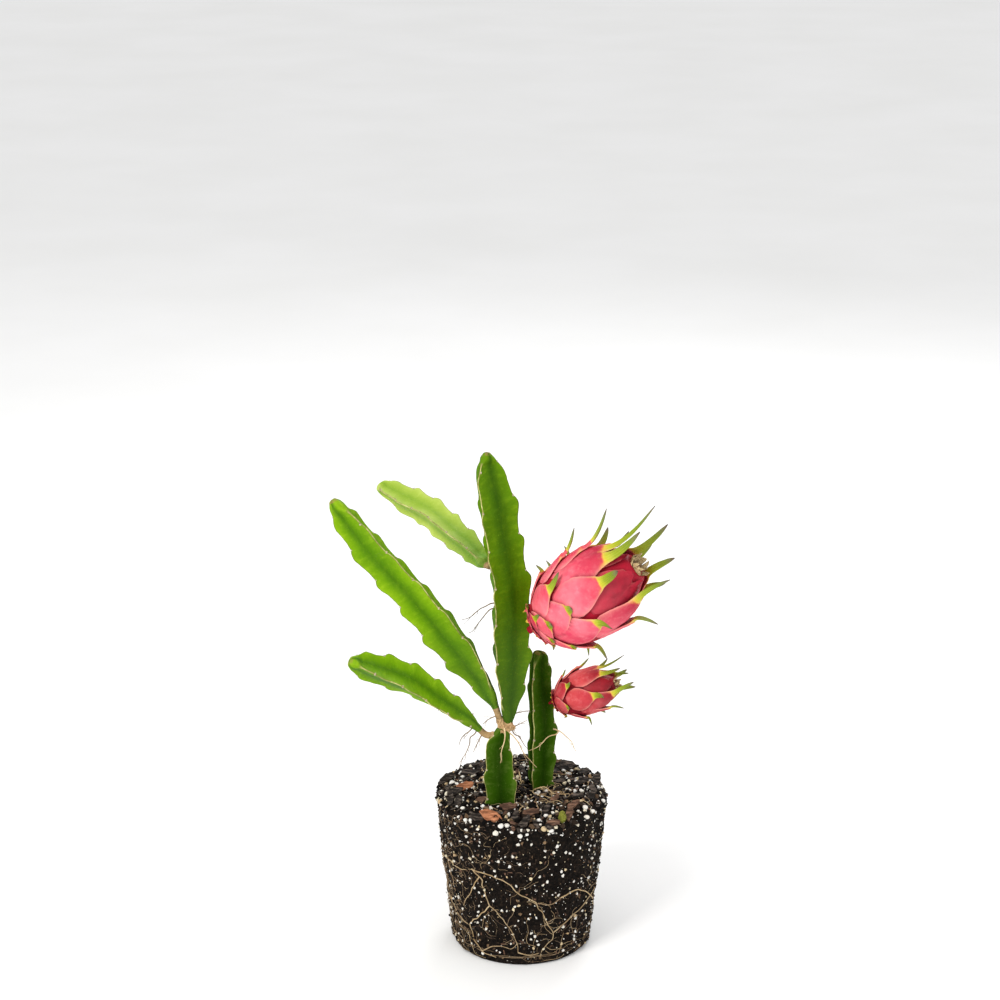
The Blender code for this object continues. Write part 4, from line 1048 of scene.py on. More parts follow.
# %% Aerial roots
AERIAL_ROOTS = {
    "left_cutting": [
        [(-12.5, -31, 214.2), (-8.2, -31.5, 209.7), (-1.3, -29, 200.1), (4.9, -26, 189.5)],
        [(-13.5, -32.5, 212.5), (-9.0, -34.5, 207.4), (-4.5, -34, 200.6), (0.2, -32, 190.6),
            (6.4, -29, 180.8), (12.2, -26, 172.2)],
        [(-11.5, -29, 211), (-4.5, -27.5, 212.4), (-0.2, -26, 214.4), (4.0, -24.5, 215.7)],
        [(-15.4, -35, 213.5), (-15.2, -38.5, 209.5), (-15.8, -40.5, 202.9), (-18.2, -41.5, 191.8),
            (-18.4, -41.5, 183.4)],
    ],
    "right_cutting": [
        [(28.5, -2, 197.9), (31.5, -6.5, 197.6), (23.5, -13, 195.4), (15.8, -19, 190.8),
            (9.5, -21.5, 187.2), (5.7, -21.5, 186.8)],
        [(27, -1, 197.5), (33.0, -1, 195.2), (38.4, -2, 191.0), (43.0, -3, 185.6), (46.2, -4, 177.6)],
        [(11.2, -12, 145.4), (12.9, -16.5, 148.4), (15.9, -19, 151), (19.7, -20.5, 151.4),
            (23.6, -21.5, 148.8), (27.0, -22.5, 145.4)],
    ],
    "shoot_tall": [
        [(-22.5, -9.5, 317.4), (-27.7, -8, 315.7), (-37.9, -10, 310.7), (-43.8, -12, 305.8),
            (-51.5, -14, 303.9)],
        [(-22.5, -9.5, 312.8), (-28.1, -8, 311), (-34, -10, 303.4), (-37.9, -12, 299), (-46.3, -14, 290.4)],
        [(-9.5, -29.5, 222.6), (-3.9, -28, 224.3), (-0.1, -26.5, 224.6), (6, -23.5, 224)],
    ],
    "shoot_left": [
        [(-20.3, -31.3, 223.3), (-24.3, -32.5, 222.8), (-30.1, -35, 220.8), (-33.6, -37, 217.2)],
    ],
    "shoot_low": [
        [(-41.5, -34.5, 215.5), (-43.9, -36, 211.7), (-51.6, -39, 206), (-53.6, -40, 199.8)],
        [(-38.5, -33.5, 212), (-40.6, -33, 208.5), (-44.1, -34, 202.3), (-46.4, -35, 194.3),
            (-50.2, -36, 186.1), (-52.9, -38, 180.4)],
        [(-33.5, -31.7, 207.5), (-36.1, -31.5, 202), (-39.6, -32, 195.2), (-41.8, -33, 189)],
    ],
    "shoot_upper": [],
}

SIDE_ROOTS = 3  # finer branches on each root
AERIAL_RADII, SIDE_RADII = (0.62, 0.22), (0.24, 0.1)  # at the start and the end
PALE, BROWN = 0.0, 0.8  # kinds of colour
YOUNG_ABOVE = 160  # roots that start higher are brown


def wiggle(points, amount, draw):
    """The same line with small bends between its points."""
    path = Path(points)
    count = max(4, round(path.length / 5))
    found = []
    for k in range(count + 1):
        shift = np.array([draw.gauss(0, amount) for _ in range(3)]) if 0 < k else 0
        found.append(path.at(path.length * k / count) + shift)
    return found


def aerial_lines(name, draw):
    """The roots of one stem with their side branches."""
    lines = []
    for points in AERIAL_ROOTS[name]:
        _, depth, height = points[0]
        pale = name == "right_cutting" or height < YOUNG_ABOVE or (name == "left_cutting" and depth < -32)
        kind = PALE if pale else BROWN
        lines.append((wiggle(points, 0.35, draw), AERIAL_RADII, kind))
        path = Path(points)
        for _ in range(SIDE_ROOTS):
            s = path.length * draw.uniform(0.25, 0.85)
            start = path.at(s)
            stray = np.array([draw.gauss(0, 0.6), draw.gauss(0, 0.3), draw.gauss(-0.3, 0.4)])
            way = unit(path.along(s) + stray)
            reach = draw.uniform(3, 9)
            middle = start + way * reach * 0.5 + np.array([draw.gauss(0, 0.8), 0, draw.gauss(0, 0.8)])
            end = start + way * reach + np.array([0, 0, -0.12 * reach])
            lines.append(([start, middle, end], SIDE_RADII, kind))
    return lines


draw = random.Random(5)
aerial = [line for stem_name in AERIAL_ROOTS for line in aerial_lines(stem_name, draw)]
place_piece(tube_piece("aerial_roots", aerial, sides=7), "dry_root")

# %% [markdown]
# ## Finish of the fruits
#
# The skin is pink on the swollen plates and a deep crimson between them and toward the
# navel: between the plates that dark is painted shade in the recesses, toward the navel it is
# the inner scales' own deeper colour. Each plate has a thin pale edge, a painted highlight, and
# its free tip runs over yellow to a green, leafy blade that dries to grey-brown at its point.
# The number "tip" says how far along its scale a point lies, the shade number how much painted
# shade a point gets, close under the edge of a plate that lies over it and on the plates'
# undersides, "rim" how near to its own edge, and "plate" is 0 on the bare body.

# %% Make the fruit skin
FRUIT_NUMBERS = ("tip", "seam", "share", "across", "plate", "rim", "tone")
LEAF_STARTS = 0.275  # the tip number where a plate turns to its leafy blade
LEAF_COLOURS = [
    (0.28, (0.80, 0.17, 0.08)), (0.335, (0.72, 0.46, 0.06)), (0.40, (0.52, 0.50, 0.03)),
    (0.55, (0.29, 0.36, 0.014)), (0.82, (0.175, 0.250, 0.012)), (0.93, (0.17, 0.18, 0.07)),
    (0.98, (0.13, 0.09, 0.06)), (1.0, (0.07, 0.05, 0.04)),
]


def fruit_finish(name, light, deep, between_plates):
    """Skin from light to deep pink on the plates, darker between them (painted shade) and toward the navel,
    with green tips.
    """
    made, tree, shader = finish_material(name)
    tip, seam, share, across, plate, rim, tone = (attribute(tree, label) for label in FRUIT_NUMBERS)
    wander = around_zero(tree, cloud(tree, 240.0, 3.0))
    depth = plus(tree, times(tree, tip, 2.4), times(tree, wander, 0.9))
    depth = plus(tree, depth, times(tree, around_zero(tree, tone), 0.7), True)
    base = mix(tree, depth, light, deep)
    streak = span(tree, cloud(tree, 190.0, 5.0, 0.65), 0.50, 0.80, 0.0, 0.55)
    base = mix(tree, streak, base, toned(light, 1.1, 0.15))
    # larger lighter patches, spread at random
    pale_patches = span(tree, cloud(tree, 34.0, 3.0), 0.46, 0.68, 0.0, 0.45)
    base = mix(tree, pale_patches, base, toned(light, 1.05, 0.17))
    # the bare body between the plates is painted in shade; toward the navel the plates take the inner scales'
    # deeper crimson
    dark = mottle(tree, between_plates, toned(between_plates, 0.55), 70.0, 900.0, 0.3)
    base = mix(tree, plate, dark, base)
    base = mix(tree, span(tree, share, 0.62, 0.90, 0.0, 0.85), base, dark)
    along = plus(tree, tip, times(tree, wander, 0.07))
    leaf = ramp(tree, along, LEAF_COLOURS)
    vein = calc(tree, "SINE", times(tree, across, 17.0))
    leaf = mix(tree, span(tree, vein, 0.2, 1.0, 0.0, 0.16), leaf, (0.60, 0.62, 0.14))
    colour = mix(tree, span(tree, along, LEAF_STARTS, 0.335), base, leaf)
    # a thin pale line along each plate's rim: painted highlight
    pale = times(tree, rim, times(tree, plate, 0.52))
    colour = mix(tree, pale, colour, (0.95, 0.45, 0.36))
    # painted shade close under the plates' edges and on their undersides
    shadow = times(tree, calc(tree, "POWER", seam, 1.4), 0.85)
    colour = mix(tree, shadow, colour, toned(between_plates, 0.30))
    feed(tree, shader, colour, span(tree, cloud(tree, 90.0), 0.3, 0.7, 0.42, 0.58), 0.15)
    height = plus(tree, grain_height(tree, 1100.0, 0.35), times(tree, cloud(tree, 260.0, 4.0, 0.6), 0.8))
    height = plus(tree, height, times(tree, vein, times(tree, tip, 0.25)))
    bump(tree, shader, height, 0.4, 0.0009)
    return made


# the third tone is painted shade between the plates and the inner scales' own colour toward the navel
FLESH = {  # light, deep and between the plates
    "large_fruit": ((0.82, 0.120, 0.165), (0.66, 0.024, 0.085), (0.46, 0.009, 0.032)),
    "small_fruit": ((0.58, 0.066, 0.072), (0.44, 0.018, 0.038), (0.32, 0.008, 0.020)),
}
fruit_skins = {name: fruit_finish(name + "_skin", *tones) for name, tones in FLESH.items()}
print("fruit skins:", list(fruit_skins))

# %% [markdown]
# ## The fruits' numbers
#
# A fruit has an axis from its stem end to its navel and scales set round it. A scale has the
# angle where it stands (0 degrees up, 90 to the front), the start and the end of the plate
# that lies on the body, half its width, and the place of its free tip.

# %% Fruit numbers
BODY_PROFILE = [(0.0, 0.2), (0.05, 0.42), (0.14, 0.7), (0.27, 0.9), (0.42, 1.0), (0.56, 0.98),
                (0.7, 0.88), (0.82, 0.7), (0.92, 0.47), (1.0, 0.3)]
CRATER_FLOOR = 0.93  # where the navel's hollow ends, as a share of the length
FRUITS = {  # a scale may end with the turn of its tip; the front scale reaches further than its solid
    "large_fruit": {
        "base": (10.4, -27, 302.4), "navel": (94.4, -50.6, 365.2), "radius": 36.8, "stub": 0.06,
        "scales": [
            (80, 0.35, 0.72, 15.5, 1.0, 41.5), (124, 0.18, 0.52, 17, 0.73, 55.4),
            (41, 0.42, 0.8, 19, 1.25, 32.2), (12, 0.46, 0.8, 17, 1.42, 36.5),
            (-22, 0.5, 0.84, 14, 1.06, 30.5), (2, 0.38, 0.64, 17, 1.05, 54.3),
            (8, 0.26, 0.48, 15, 0.76, 55.4), (-24, 0.27, 0.48, 13, 0.5, 50.1),
            (-2, 0.1, 0.29, 13, 0.28, 44.9), (56, 0.14, 0.37, 14, 0.54, 42.6, -12),
            (-48, 0.6, 0.97, 15, 1.34, 24.4), (236, 0.6, 0.96, 14, 1.25, 19),
            (155, 0.44, 0.82, 18, 1.23, 26.3, -8), (186, 0.38, 0.67, 14, 0.88, 51.2),
            (180, 0.14, 0.33, 14, 0.38, 54.6), (196, 0.08, 0.25, 12, 0.21, 47.4),
            (163, 0.02, 0.08, 9, 0.06, 26.1), (75, 0.03, 0.14, 9, 0.22, 33), (30, 0.02, 0.08, 8, 0.09, 24),
            (122, 0.03, 0.16, 10, 0.2, 34), (97, 0.6, 0.95, 16, 1, 14), (30, 0.68, 0.95, 10, 1.02, 15),
            (138, 0.68, 0.95, 11, 1.02, 15), (232, 0.2, 0.45, 16, 0.52, 50), (262, 0.34, 0.62, 17, 0.8, 48),
            (300, 0.2, 0.46, 16, 0.5, 50), (322, 0.36, 0.66, 16, 0.86, 50), (285, 0.48, 0.82, 17, 1.1, 38),
            (222, 0.5, 0.8, 16, 1.05, 34), (250, 0.05, 0.22, 12, 0.22, 40), (340, 0.12, 0.32, 12, 0.32, 46),
            # small ones between those of the solids, and the front's second plate
            (95, 0.05, 0.24, 15, 0.285, 37.0), (148, 0.05, 0.26, 14, 0.3, 37.5),
            (90, 0.18, 0.46, 15, 0.51, 39.0), (275, 0.04, 0.28, 16, 0.33, 38.5),
            (314, 0.04, 0.27, 14, 0.31, 37.5), (232, 0.12, 0.33, 15, 0.37, 39.0),
            (255, 0.18, 0.42, 15, 0.47, 40.0), (283, 0.26, 0.52, 15, 0.57, 41.0),
        ],
    },
    "small_fruit": {
        "base": (27.2, 0, 222.8), "navel": (80.2, -14, 245.9), "radius": 19.5, "stub": 0.09,
        "scales": [
            (100, 0.3, 0.64, 9.8, 0.96, 33.4), (35, 0.4, 0.8, 10, 1.19, 14.4),
            (130, 0.44, 0.88, 10, 1.3, 6, -12), (5, 0.36, 0.76, 10, 1.27, 21.2),
            (-12, 0.2, 0.46, 9, 0.7, 27.6), (8, 0.06, 0.26, 8, 0.36, 24.7), (60, 0.1, 0.36, 8, 0.49, 27.9),
            (178, 0.44, 0.76, 9, 1.01, 22.8), (170, 0.2, 0.44, 8, 0.48, 29.4),
            (165, 0.02, 0.14, 7, 0.1, 17.4), (110, 0.06, 0.28, 8, 0.34, 23), (-40, 0.6, 0.97, 8, 1.22, 6),
            (75, 0.6, 0.95, 9, 1.02, 9), (215, 0.22, 0.5, 9, 0.62, 29), (255, 0.36, 0.68, 9, 0.9, 26),
            (295, 0.2, 0.48, 9, 0.6, 28), (325, 0.38, 0.7, 9, 0.92, 26), (235, 0.56, 0.9, 9, 1.2, 16),
            (300, 0.58, 0.92, 9, 1.16, 15),
            # small ones between those of the solids
            (250, 0.06, 0.3, 9, 0.35, 21.5), (285, 0.05, 0.28, 9, 0.33, 21.0),
            (322, 0.06, 0.3, 8, 0.34, 21.5), (212, 0.06, 0.27, 8, 0.31, 20.5),
            (268, 0.22, 0.48, 9, 0.54, 22.0),
        ],
    },
}


class FruitFrame:
    """A fruit's axis and the directions round it, in millimetres."""

    def __init__(self, fruit):
        self.base, self.navel = (np.array(fruit[end], float) for end in ("base", "navel"))
        self.length = np.linalg.norm(self.navel - self.base)
        self.axis = unit(self.navel - self.base)
        self.front = unit(FRONT - self.axis * FRONT.dot(self.axis))
        self.up = np.cross(self.front, self.axis)
        self.radius = fruit["radius"]

    def out(self, angle):
        """The direction away from the axis at an angle in degrees."""
        return self.up * math.cos(math.radians(angle)) + self.front * math.sin(math.radians(angle))

    def point(self, share, angle, far):
        """The point at a share of the length, an angle and a distance from the axis."""
        return self.base + self.axis * self.length * share + self.out(angle) * far

    def skin_radius(self, share):
        """The body's radius at a share of the length, on a smooth outline."""
        return smooth_outline(BODY_PROFILE, share) * self.radius


OUTLINE_BLUR = (-0.03, -0.015, 0.0, 0.015, 0.03)


def smooth_outline(table, share):
    """The value at a place in a short table, with its corners softened."""
    return sum(between(table, share + d) for d in OUTLINE_BLUR) / len(OUTLINE_BLUR)


# %% [markdown]
# ## Body and scales
#
# The body is turned round the axis and pulled into a hollow at the navel. Each scale is its
# own curved sheet. Its plate starts under the skin, rises toward its free edge and swells
# along its middle, so that plates nearer the stem lie over the next ones. Then it leaves the
# body as a keeled leaf that narrows to its point. A rosette of small scales rings the stem
# end. Where a point lies close under the edge of another scale, it is in that edge's shade,
# and a search among all edges stores how near it is.

# %% Fruit shapes
BODY_COUNT = 132
BODY_ROWS = 84
SCALE_ROWS = 30
SCALE_COLUMNS = 15
ACROSS = np.sin(np.linspace(-math.pi / 2, math.pi / 2, SCALE_COLUMNS))
PLATE_SHARE = 0.55  # of a scale's rows lie on the body
PLATE_GROWS = 0.06  # how much further than in the solids a long scale's plate reaches
PLATE_WIDTHS = [(0, 0.65), (0.25, 1.02), (0.42, 1.14), (0.6, 1.02), (0.75, 0.82), (0.9, 0.56), (1, 0.41)]
PLATE_EDGES = [(0.0, -1.3), (0.25, -0.4), (0.7, 1.0), (1.0, 1.8)]  # the edge's height over the skin
LEAF_WIDTHS = [(0, 1.0), (0.12, 0.76), (0.3, 0.66), (0.6, 0.58), (0.85, 0.40), (0.96, 0.22), (1.0, 0.08)]
LARGE_RADIUS = 36.8  # millimetre sizes of plates are given for this body
ROSETTE = 12  # small scales round the stem end
SHADE_REACH = 4.2  # how far an edge throws its shade, in millimetres
TIP_SHRINK = 0.7  # keeps the finer tips inside those of the solids


def plate_size(frame):
    """How thick and high a fruit's plates are, against those of the large one."""
    return 0.3 + 0.7 * frame.radius / LARGE_RADIUS


def body_mesh(frame, stub):
    """Rings from the stub at the stem end over the body into the navel's hollow."""
    outline = [(-stub, 0.10), (-stub * 0.5, 0.105), (0.0, 0.14)]
    places = np.linspace(0.012, 0.985, BODY_ROWS)
    outline += [(share, smooth_outline(BODY_PROFILE, share)) for share in places]
    outline += [(0.995, 0.27), (0.993, 0.22), (0.975, 0.185), (CRATER_FLOOR + 0.01, 0.17)]
    rings, shares = [], []
    for share, far in outline:
        ring = []
        for k in range(BODY_COUNT):
            angle = 360 * k / BODY_COUNT
            point = frame.point(share, angle, far * frame.radius)
            soft = 0.6 * rough(point, 14.0) + 0.25 * rough(point, 5.0)
            ring.append(point + frame.out(angle) * ((soft if 0 < share < 0.98 else 0) - 0.5))
        rings.append(np.array(ring))
        shares += [share] * BODY_COUNT
    verts = capped(rings)
    numbers = {label: [0.0] * len(verts) for label in FRUIT_NUMBERS}
    numbers.update(share=shares + [outline[0][0], 1.0], tone=[0.5] * len(verts))
    return verts, loft_faces(len(outline), BODY_COUNT), numbers, []


def scale_mesh(frame, scale, tone):
    """A closed sheet for one scale, with its numbers for the skin and its plate's edge points."""
    angle, start, end, width, tip_share, tip_far, *turn = scale
    size = plate_size(frame)
    tip = frame.point(tip_share, angle + sum(turn), tip_far)
    tip -= unit(tip - frame.point(end, angle, frame.skin_radius(end))) * TIP_SHRINK
    reach = np.linalg.norm(tip - frame.point(end, angle, frame.skin_radius(end)))
    inner = start >= 0.6 and reach < 10 * size
    blush = 0.32 if abs(angle) < 30 and end < 0.7 else 0.0
    stand = 1.0
    if reach > 15 * size and not inner:
        end = min(end + PLATE_GROWS * min(1.0, reach / size / 15 - 1), 0.97)
        stand = 4.5 if end > 0.7 else 2.5
    side = np.cross(frame.axis, frame.out(angle))

    def plate_row(q):
        place = start + (end - start) * q
        wide = width * between(PLATE_WIDTHS, q)
        far = frame.skin_radius(place) + size * stand * max(0.0, q - 0.45) ** 1.6 / 0.384
        edge = size * between(PLATE_EDGES, q) * (0.45 if inner else 1.0)
        swell = size * (0.7 + 1.4 * q) * (0.6 if inner else 1.0)
        spread = math.degrees(wide / max(far, 4.0))
        top, under = [], []
        for u in ACROSS:
            ripple = 0.35 * size * rough((angle, 9 * q, 3 * u), 1.0)
            high, low = far + edge + swell * (1 - u * u) ** 0.7, far + edge - 0.7 * size * (2 - u * u)
            top.append(frame.point(place, angle + spread * u, high + ripple))
            under.append(frame.point(place, angle + spread * u, low + ripple))
        return np.array(top), np.array(under), frame.point(place, angle, far), wide

    rows = round(SCALE_ROWS * PLATE_SHARE)
    last_top, last_under, leave, last_wide = plate_row(1.0)
    before = plate_row(0.8)[2]
    bend = leave + unit(leave - before) * np.linalg.norm(tip - leave) * 0.36
    loops, edges, numbers = [], [], {label: [] for label in FRUIT_NUMBERS}
    for row in range(SCALE_ROWS):
        on_plate = row <= rows
        q = row / rows if on_plate else (row - rows) / (SCALE_ROWS - 1 - rows)
        if on_plate:
            top, under = plate_row(q)[:2]
            if q > 0.2:
                edges += [top[0], top[-1]]
            tips = 0.28 * q + 0.055 * np.abs(ACROSS) ** 3 * ease((q - 0.55) / 0.45)
        else:
            first, second = leave + (bend - leave) * q, bend + (tip - bend) * q
            centre = first + (second - first) * q
            lift = unit(np.cross(side, unit(second - first)))
            wide = last_wide * between(LEAF_WIDTHS, q)
            blend = ease(q / 0.3)
            keel, thick = 0.60 * wide, size * (0.5 + 1.7 * (1 - q) ** 1.3)
            flat_top, flat_under = [], []
            for u in ACROSS:
                flat_top.append(side * u * wide + lift * (keel * (1 - abs(u)) ** 1.2 + 0.25 * thick))
                hollow = 0.55 * keel * (1 - abs(u)) - 0.6 * thick * (1 - u * u)
                flat_under.append(side * u * wide * 0.98 + lift * hollow)
            old = (1 - blend) * wide / last_wide
            top = centre + (last_top - leave) * old + np.array(flat_top) * blend
            under = centre + (last_under - leave) * old + np.array(flat_under) * blend
            green = max(0.0, (q - blush) / (1 - blush))
            tips = np.full(SCALE_COLUMNS, 0.28 + 0.03 * min(1.0, q / 0.1) * (green > 0) + 0.69 * green)
        if inner or start == 0.0:
            tips = tips * (0.25 if inner else 0.40)
        loops += [top, under[::-1]]
        numbers["tip"] += list(tips) + list(tips[::-1])
        near_edge = np.abs(ACROSS) ** 10 * (ease((q - 0.2) / 0.3) if on_plate else 1 - ease(q / 0.5))
        numbers["rim"] += list(near_edge) + [0.0] * SCALE_COLUMNS
        # the underside of a plate, and less so of a leafy blade, gets painted shade
        numbers["seam"] += [0.0] * SCALE_COLUMNS + [0.7 if on_plate else 0.2] * SCALE_COLUMNS
        numbers["share"] += [start + (end - start) * (q if on_plate else 1.0)] * (2 * SCALE_COLUMNS)
        numbers["across"] += list(ACROSS) * 2
    verts = np.vstack(loops)
    verts = np.vstack([verts, verts[:2 * SCALE_COLUMNS].mean(0)[None], tip[None]])
    if start >= 0.6 and not inner:
        numbers["share"] = [min(value, 0.72) for value in numbers["share"]]
    ends = {"tip": (0.0, 0.25 if inner else 1.0), "share": (start, end)}
    for label in ("tip", "rim", "seam", "share", "across"):
        numbers[label] += ends.get(label, (0.0, 0.0))
    numbers["plate"] = [0.35 if inner else 1.0] * len(verts)
    numbers["tone"] = [tone] * len(verts)
    return verts, loft_faces(SCALE_ROWS, 2 * SCALE_COLUMNS), numbers, edges


def paint_plate_shade(frame, parts):
    """Paints shade under the scales' edges: raises the shade number of each point that lies close under the
    edge of another scale.
    """
    reach = SHADE_REACH * plate_size(frame)

    def height(point):
        off = point - frame.base
        return np.linalg.norm(off - frame.axis * off.dot(frame.axis))

    edges = [(number, point) for number, part in enumerate(parts) for point in part[3]]
    tree = KDTree(len(edges))
    for k, (_, point) in enumerate(edges):
        tree.insert(Vector(point), k)
    tree.balance()
    heights = [height(point) for _, point in edges]
    for number, (verts, _, numbers, _) in enumerate(parts):
        for i, vert in enumerate(verts):
            found = [(k, d) for _, k, d in tree.find_range(Vector(vert), reach) if edges[k][0] != number]
            if found:
                level = height(vert)
                near = [1 - d / reach for k, d in found if heights[k] > level - 0.1]
                numbers["seam"][i] = max([numbers["seam"][i]] + near)


def rosette_scales(fruit, draw):
    """Small scales in a ring round the stem end."""
    found, radius = [], fruit["radius"]
    for k in range(ROSETTE):
        angle = 360 * k / ROSETTE + draw.uniform(-9, 9)
        far = draw.uniform(0.48, 0.60) * radius
        end, tip_share = draw.uniform(0.04, 0.06), draw.uniform(0.0, 0.035)
        found.append((angle, 0.0, end, 0.24 * radius, tip_share, far, draw.uniform(-8, 8)))
    return found


def fruit_piece(name, made, draw):
    """The body and all scales of a fruit in one mesh."""
    fruit = FRUITS[name]
    frame = FruitFrame(fruit)
    scales = fruit["scales"] + rosette_scales(fruit, draw)
    parts = [body_mesh(frame, fruit["stub"])] + [scale_mesh(frame, scale, draw.random()) for scale in scales]
    paint_plate_shade(frame, parts)
    verts, faces, numbers = joined([part[:3] for part in parts])
    return outward(new_piece(name + "_flesh", verts, faces, [made], numbers))


draw = random.Random(31)
for fruit_name, skin_made in fruit_skins.items():
    place_piece(fruit_piece(fruit_name, skin_made, draw), "fruit_skin", fruit_name)

# %% [markdown]
# ## Dried flowers
#
# Each fruit keeps the dried rest of its flower in the hollow of its navel: withered petals
# like torn paper round a tuft of threads. The petals are thin curled strips with a real
# thickness, each bent by its own chance, and the threads are fine tubes.

# %% Finish of the dried flowers
papery, tree, shader = finish_material("withered_petal")
streaks = cloud(tree, 700.0, 5.0, 0.7)
colour = ramp(tree, streaks, [(0.25, (0.16, 0.095, 0.045)), (0.5, (0.52, 0.38, 0.19)),
                              (0.75, (0.80, 0.66, 0.40))])
# near black toward the petals' feet and on the inner whorl, deep in the navel's hollow: painted shade
feed(tree, shader, mix(tree, attribute(tree, "depth"), colour, (0.035, 0.020, 0.012)), 0.85, 0.2)
bump(tree, shader, streaks, 0.8, 0.0006)

# %% Make the remnants
WHORLS = ((19, 0.085, 0.135), (7, 0.05, 0.08))  # petals of the outer and the inner one, and their reach
THREADS = 16
PETAL_ROWS = 9
PETAL_OUTLINE = [(0.0, 0.125), (0.25, 0.16), (0.5, 0.20), (0.75, 0.245), (1.0, 0.27)]
PETAL_SECTION = ((-1, 0), (-0.5, 1), (0.5, 1), (1, 0), (0.5, -1), (-0.5, -1))  # sideways and outward
PETAL_THICK = 0.17  # half of it, in millimetres


def petal(frame, angle, reach, sway, inner):
    """A thin curled strip from the navel's hollow outward, with its own thickness."""
    rings, hollow_shades = [], []
    for row in range(PETAL_ROWS):
        q = row / (PETAL_ROWS - 1)
        share = CRATER_FLOOR + 0.006 + reach * q
        far = between(PETAL_OUTLINE, q) * frame.radius * (1 - 0.35 * inner)
        turn = angle + sway * q * q
        wide = 0.048 * frame.radius * (1 + 0.5 * q) * (1 - 0.85 * q**5) * (1 - 0.3 * inner)
        middle = frame.point(share, turn, far)
        out = frame.out(turn)
        side = np.cross(frame.axis, out)
        ring = [middle + side * wide * u + out * (PETAL_THICK * w + 0.35 * wide * (1 - u * u))
                for u, w in PETAL_SECTION]
        rings.append(np.array([p + out * (0.55 * rough(p, 1.8)) for p in ring]))
        # how much painted shade a ring gets, deep in the hollow
        hollow_shades += [min(1.0, max(0.0, 1.1 - 1.9 * q) + 0.55 * inner)] * len(ring)
    return capped(rings), loft_faces(PETAL_ROWS, len(PETAL_SECTION)), {"depth": hollow_shades + [0.8, 0.0]}


def remnant_piece(name, fruit_name, draw):
    """An outer and an inner whorl of petals round a tuft of threads."""
    frame = FruitFrame(FRUITS[fruit_name])
    petals = []
    for whorl, (count, low, high) in enumerate(WHORLS):
        for k in range(count):
            angle = 360 * k / count + draw.uniform(-9, 9)
            petals.append(petal(frame, angle, draw.uniform(low, high), draw.uniform(-34, 34), whorl))
    verts, faces, numbers = joined(petals)
    obj = outward(new_piece(name + "_petals", verts, faces, [papery], numbers))
    threads = []
    for _ in range(THREADS):
        angle, far = draw.uniform(0, 360), draw.uniform(0.02, 0.09) * frame.radius
        bends = ((0.0, 0, 1.0), (0.05, draw.uniform(-30, 30), 1.2),
                 (draw.uniform(0.075, 0.115), draw.uniform(-60, 60), 1.5))
        points = [frame.point(CRATER_FLOOR + 0.01 + rise, angle + spin, far * grow)
                  for rise, spin, grow in bends]
        threads.append((points, (0.22, 0.12), draw.uniform(0.2, 0.9)))
    return obj, tube_piece(name + "_threads", threads, sides=5)


draw = random.Random(11)
for fruit_name in ("large_fruit", "small_fruit"):
    petals, threads = remnant_piece(fruit_name + "_remnant", fruit_name, draw)
    place_piece(petals, "dried_flower", fruit_name + "_remnant")
    place_piece(threads, "dried_flower")

# %% [markdown]
# ## Soil
#
# The root ball keeps the form of the pot it came out of: a tapered wall, a crumbled shoulder
# and a slight mound. Its skin is one fine loft whose unevenness comes from layered noise.
# The crumbs, perlite and bark that make it look like potting mix are scattered on it next.

# %% Finish of the soil
DARK_EARTH = (0.0016, 0.0013, 0.0011)
earth, tree, shader = finish_material("potting_soil")
fine = cloud(tree, 420.0, 8.0, 0.75)
coarse = span(tree, cloud(tree, 95.0, 5.0, 0.65), 0.55, 0.72, 0.0, 0.4)
colour = ramp(tree, fine, [(0.32, DARK_EARTH), (0.52, (0.0075, 0.0052, 0.0038)),
                           (0.66, (0.034, 0.022, 0.014)), (0.80, (0.120, 0.078, 0.048))])
feed(tree, shader, mix(tree, coarse, colour, (0.045, 0.027, 0.016)), 0.95, 0.12)
bump(tree, shader, plus(tree, fine, times(tree, cloud(tree, 1500.0, 4.0), 0.5)), 1.0, 0.0022)

# %% Soil numbers
BALL_BASE_RADIUS = 60.5
BALL_TOP_RADIUS = 74.0
WALL_HEIGHT = 134.0
BALL_TOP = [(70.5, 138.2), (61.0, 140.6), (47.0, 141.6), (31.0, 142.6), (15.0, 143.0), (1.5, 143.1)]
SOIL_COUNT = 250
SOIL_STEP = 1.5


def soil_outline():
    """Radius and height down the ball's side and over its top, a point every step."""
    corners = [(BALL_BASE_RADIUS - 2, 0.0), (BALL_BASE_RADIUS, 2.0), (BALL_TOP_RADIUS, WALL_HEIGHT)]
    corners = np.array(corners + BALL_TOP, float)
    lengths = np.concatenate([[0], np.cumsum(np.linalg.norm(np.diff(corners, axis=0), axis=1))])
    places = np.linspace(0, lengths[-1], round(lengths[-1] / SOIL_STEP))
    return np.stack([np.interp(places, lengths, corners[:, k]) for k in (0, 1)], axis=1)


def soil_piece():
    """The ball's skin, with the number that says what lies on top."""
    outline = soil_outline()
    rings, tops = [], []
    for far, height in outline:
        up = ease((height - 130.0) / 9.0) if far > 60 else 1.0
        ring = []
        for k in range(SOIL_COUNT):
            turn = math.tau * k / SOIL_COUNT
            away = np.array([math.sin(turn), -math.cos(turn), 0.0])
            place = away * far + np.array([0, 0, height])
            uneven = 1.6 * rough(place, 15.0) + 1.1 * rough(place, 6.5)
            uneven += 0.9 * rough(place, 3.0) + 0.55 * rough(place, 1.4)
            push = away * (1 - up) + np.array([0, 0, 1.0]) * up
            point = place + push * uneven * ease((height + 1) / 4)
            point[2] = max(point[2], 0.0)
            ring.append(point)
        rings.append(np.array(ring))
        tops += [up] * SOIL_COUNT
    verts = np.vstack(rings + [np.zeros((1, 3)), rings[-1].mean(0)[None]])
    numbers = {"top": tops + [0.0, 1.0]}
    return outward(new_piece("soil", verts, loft_faces(len(rings), SOIL_COUNT), [earth], numbers))


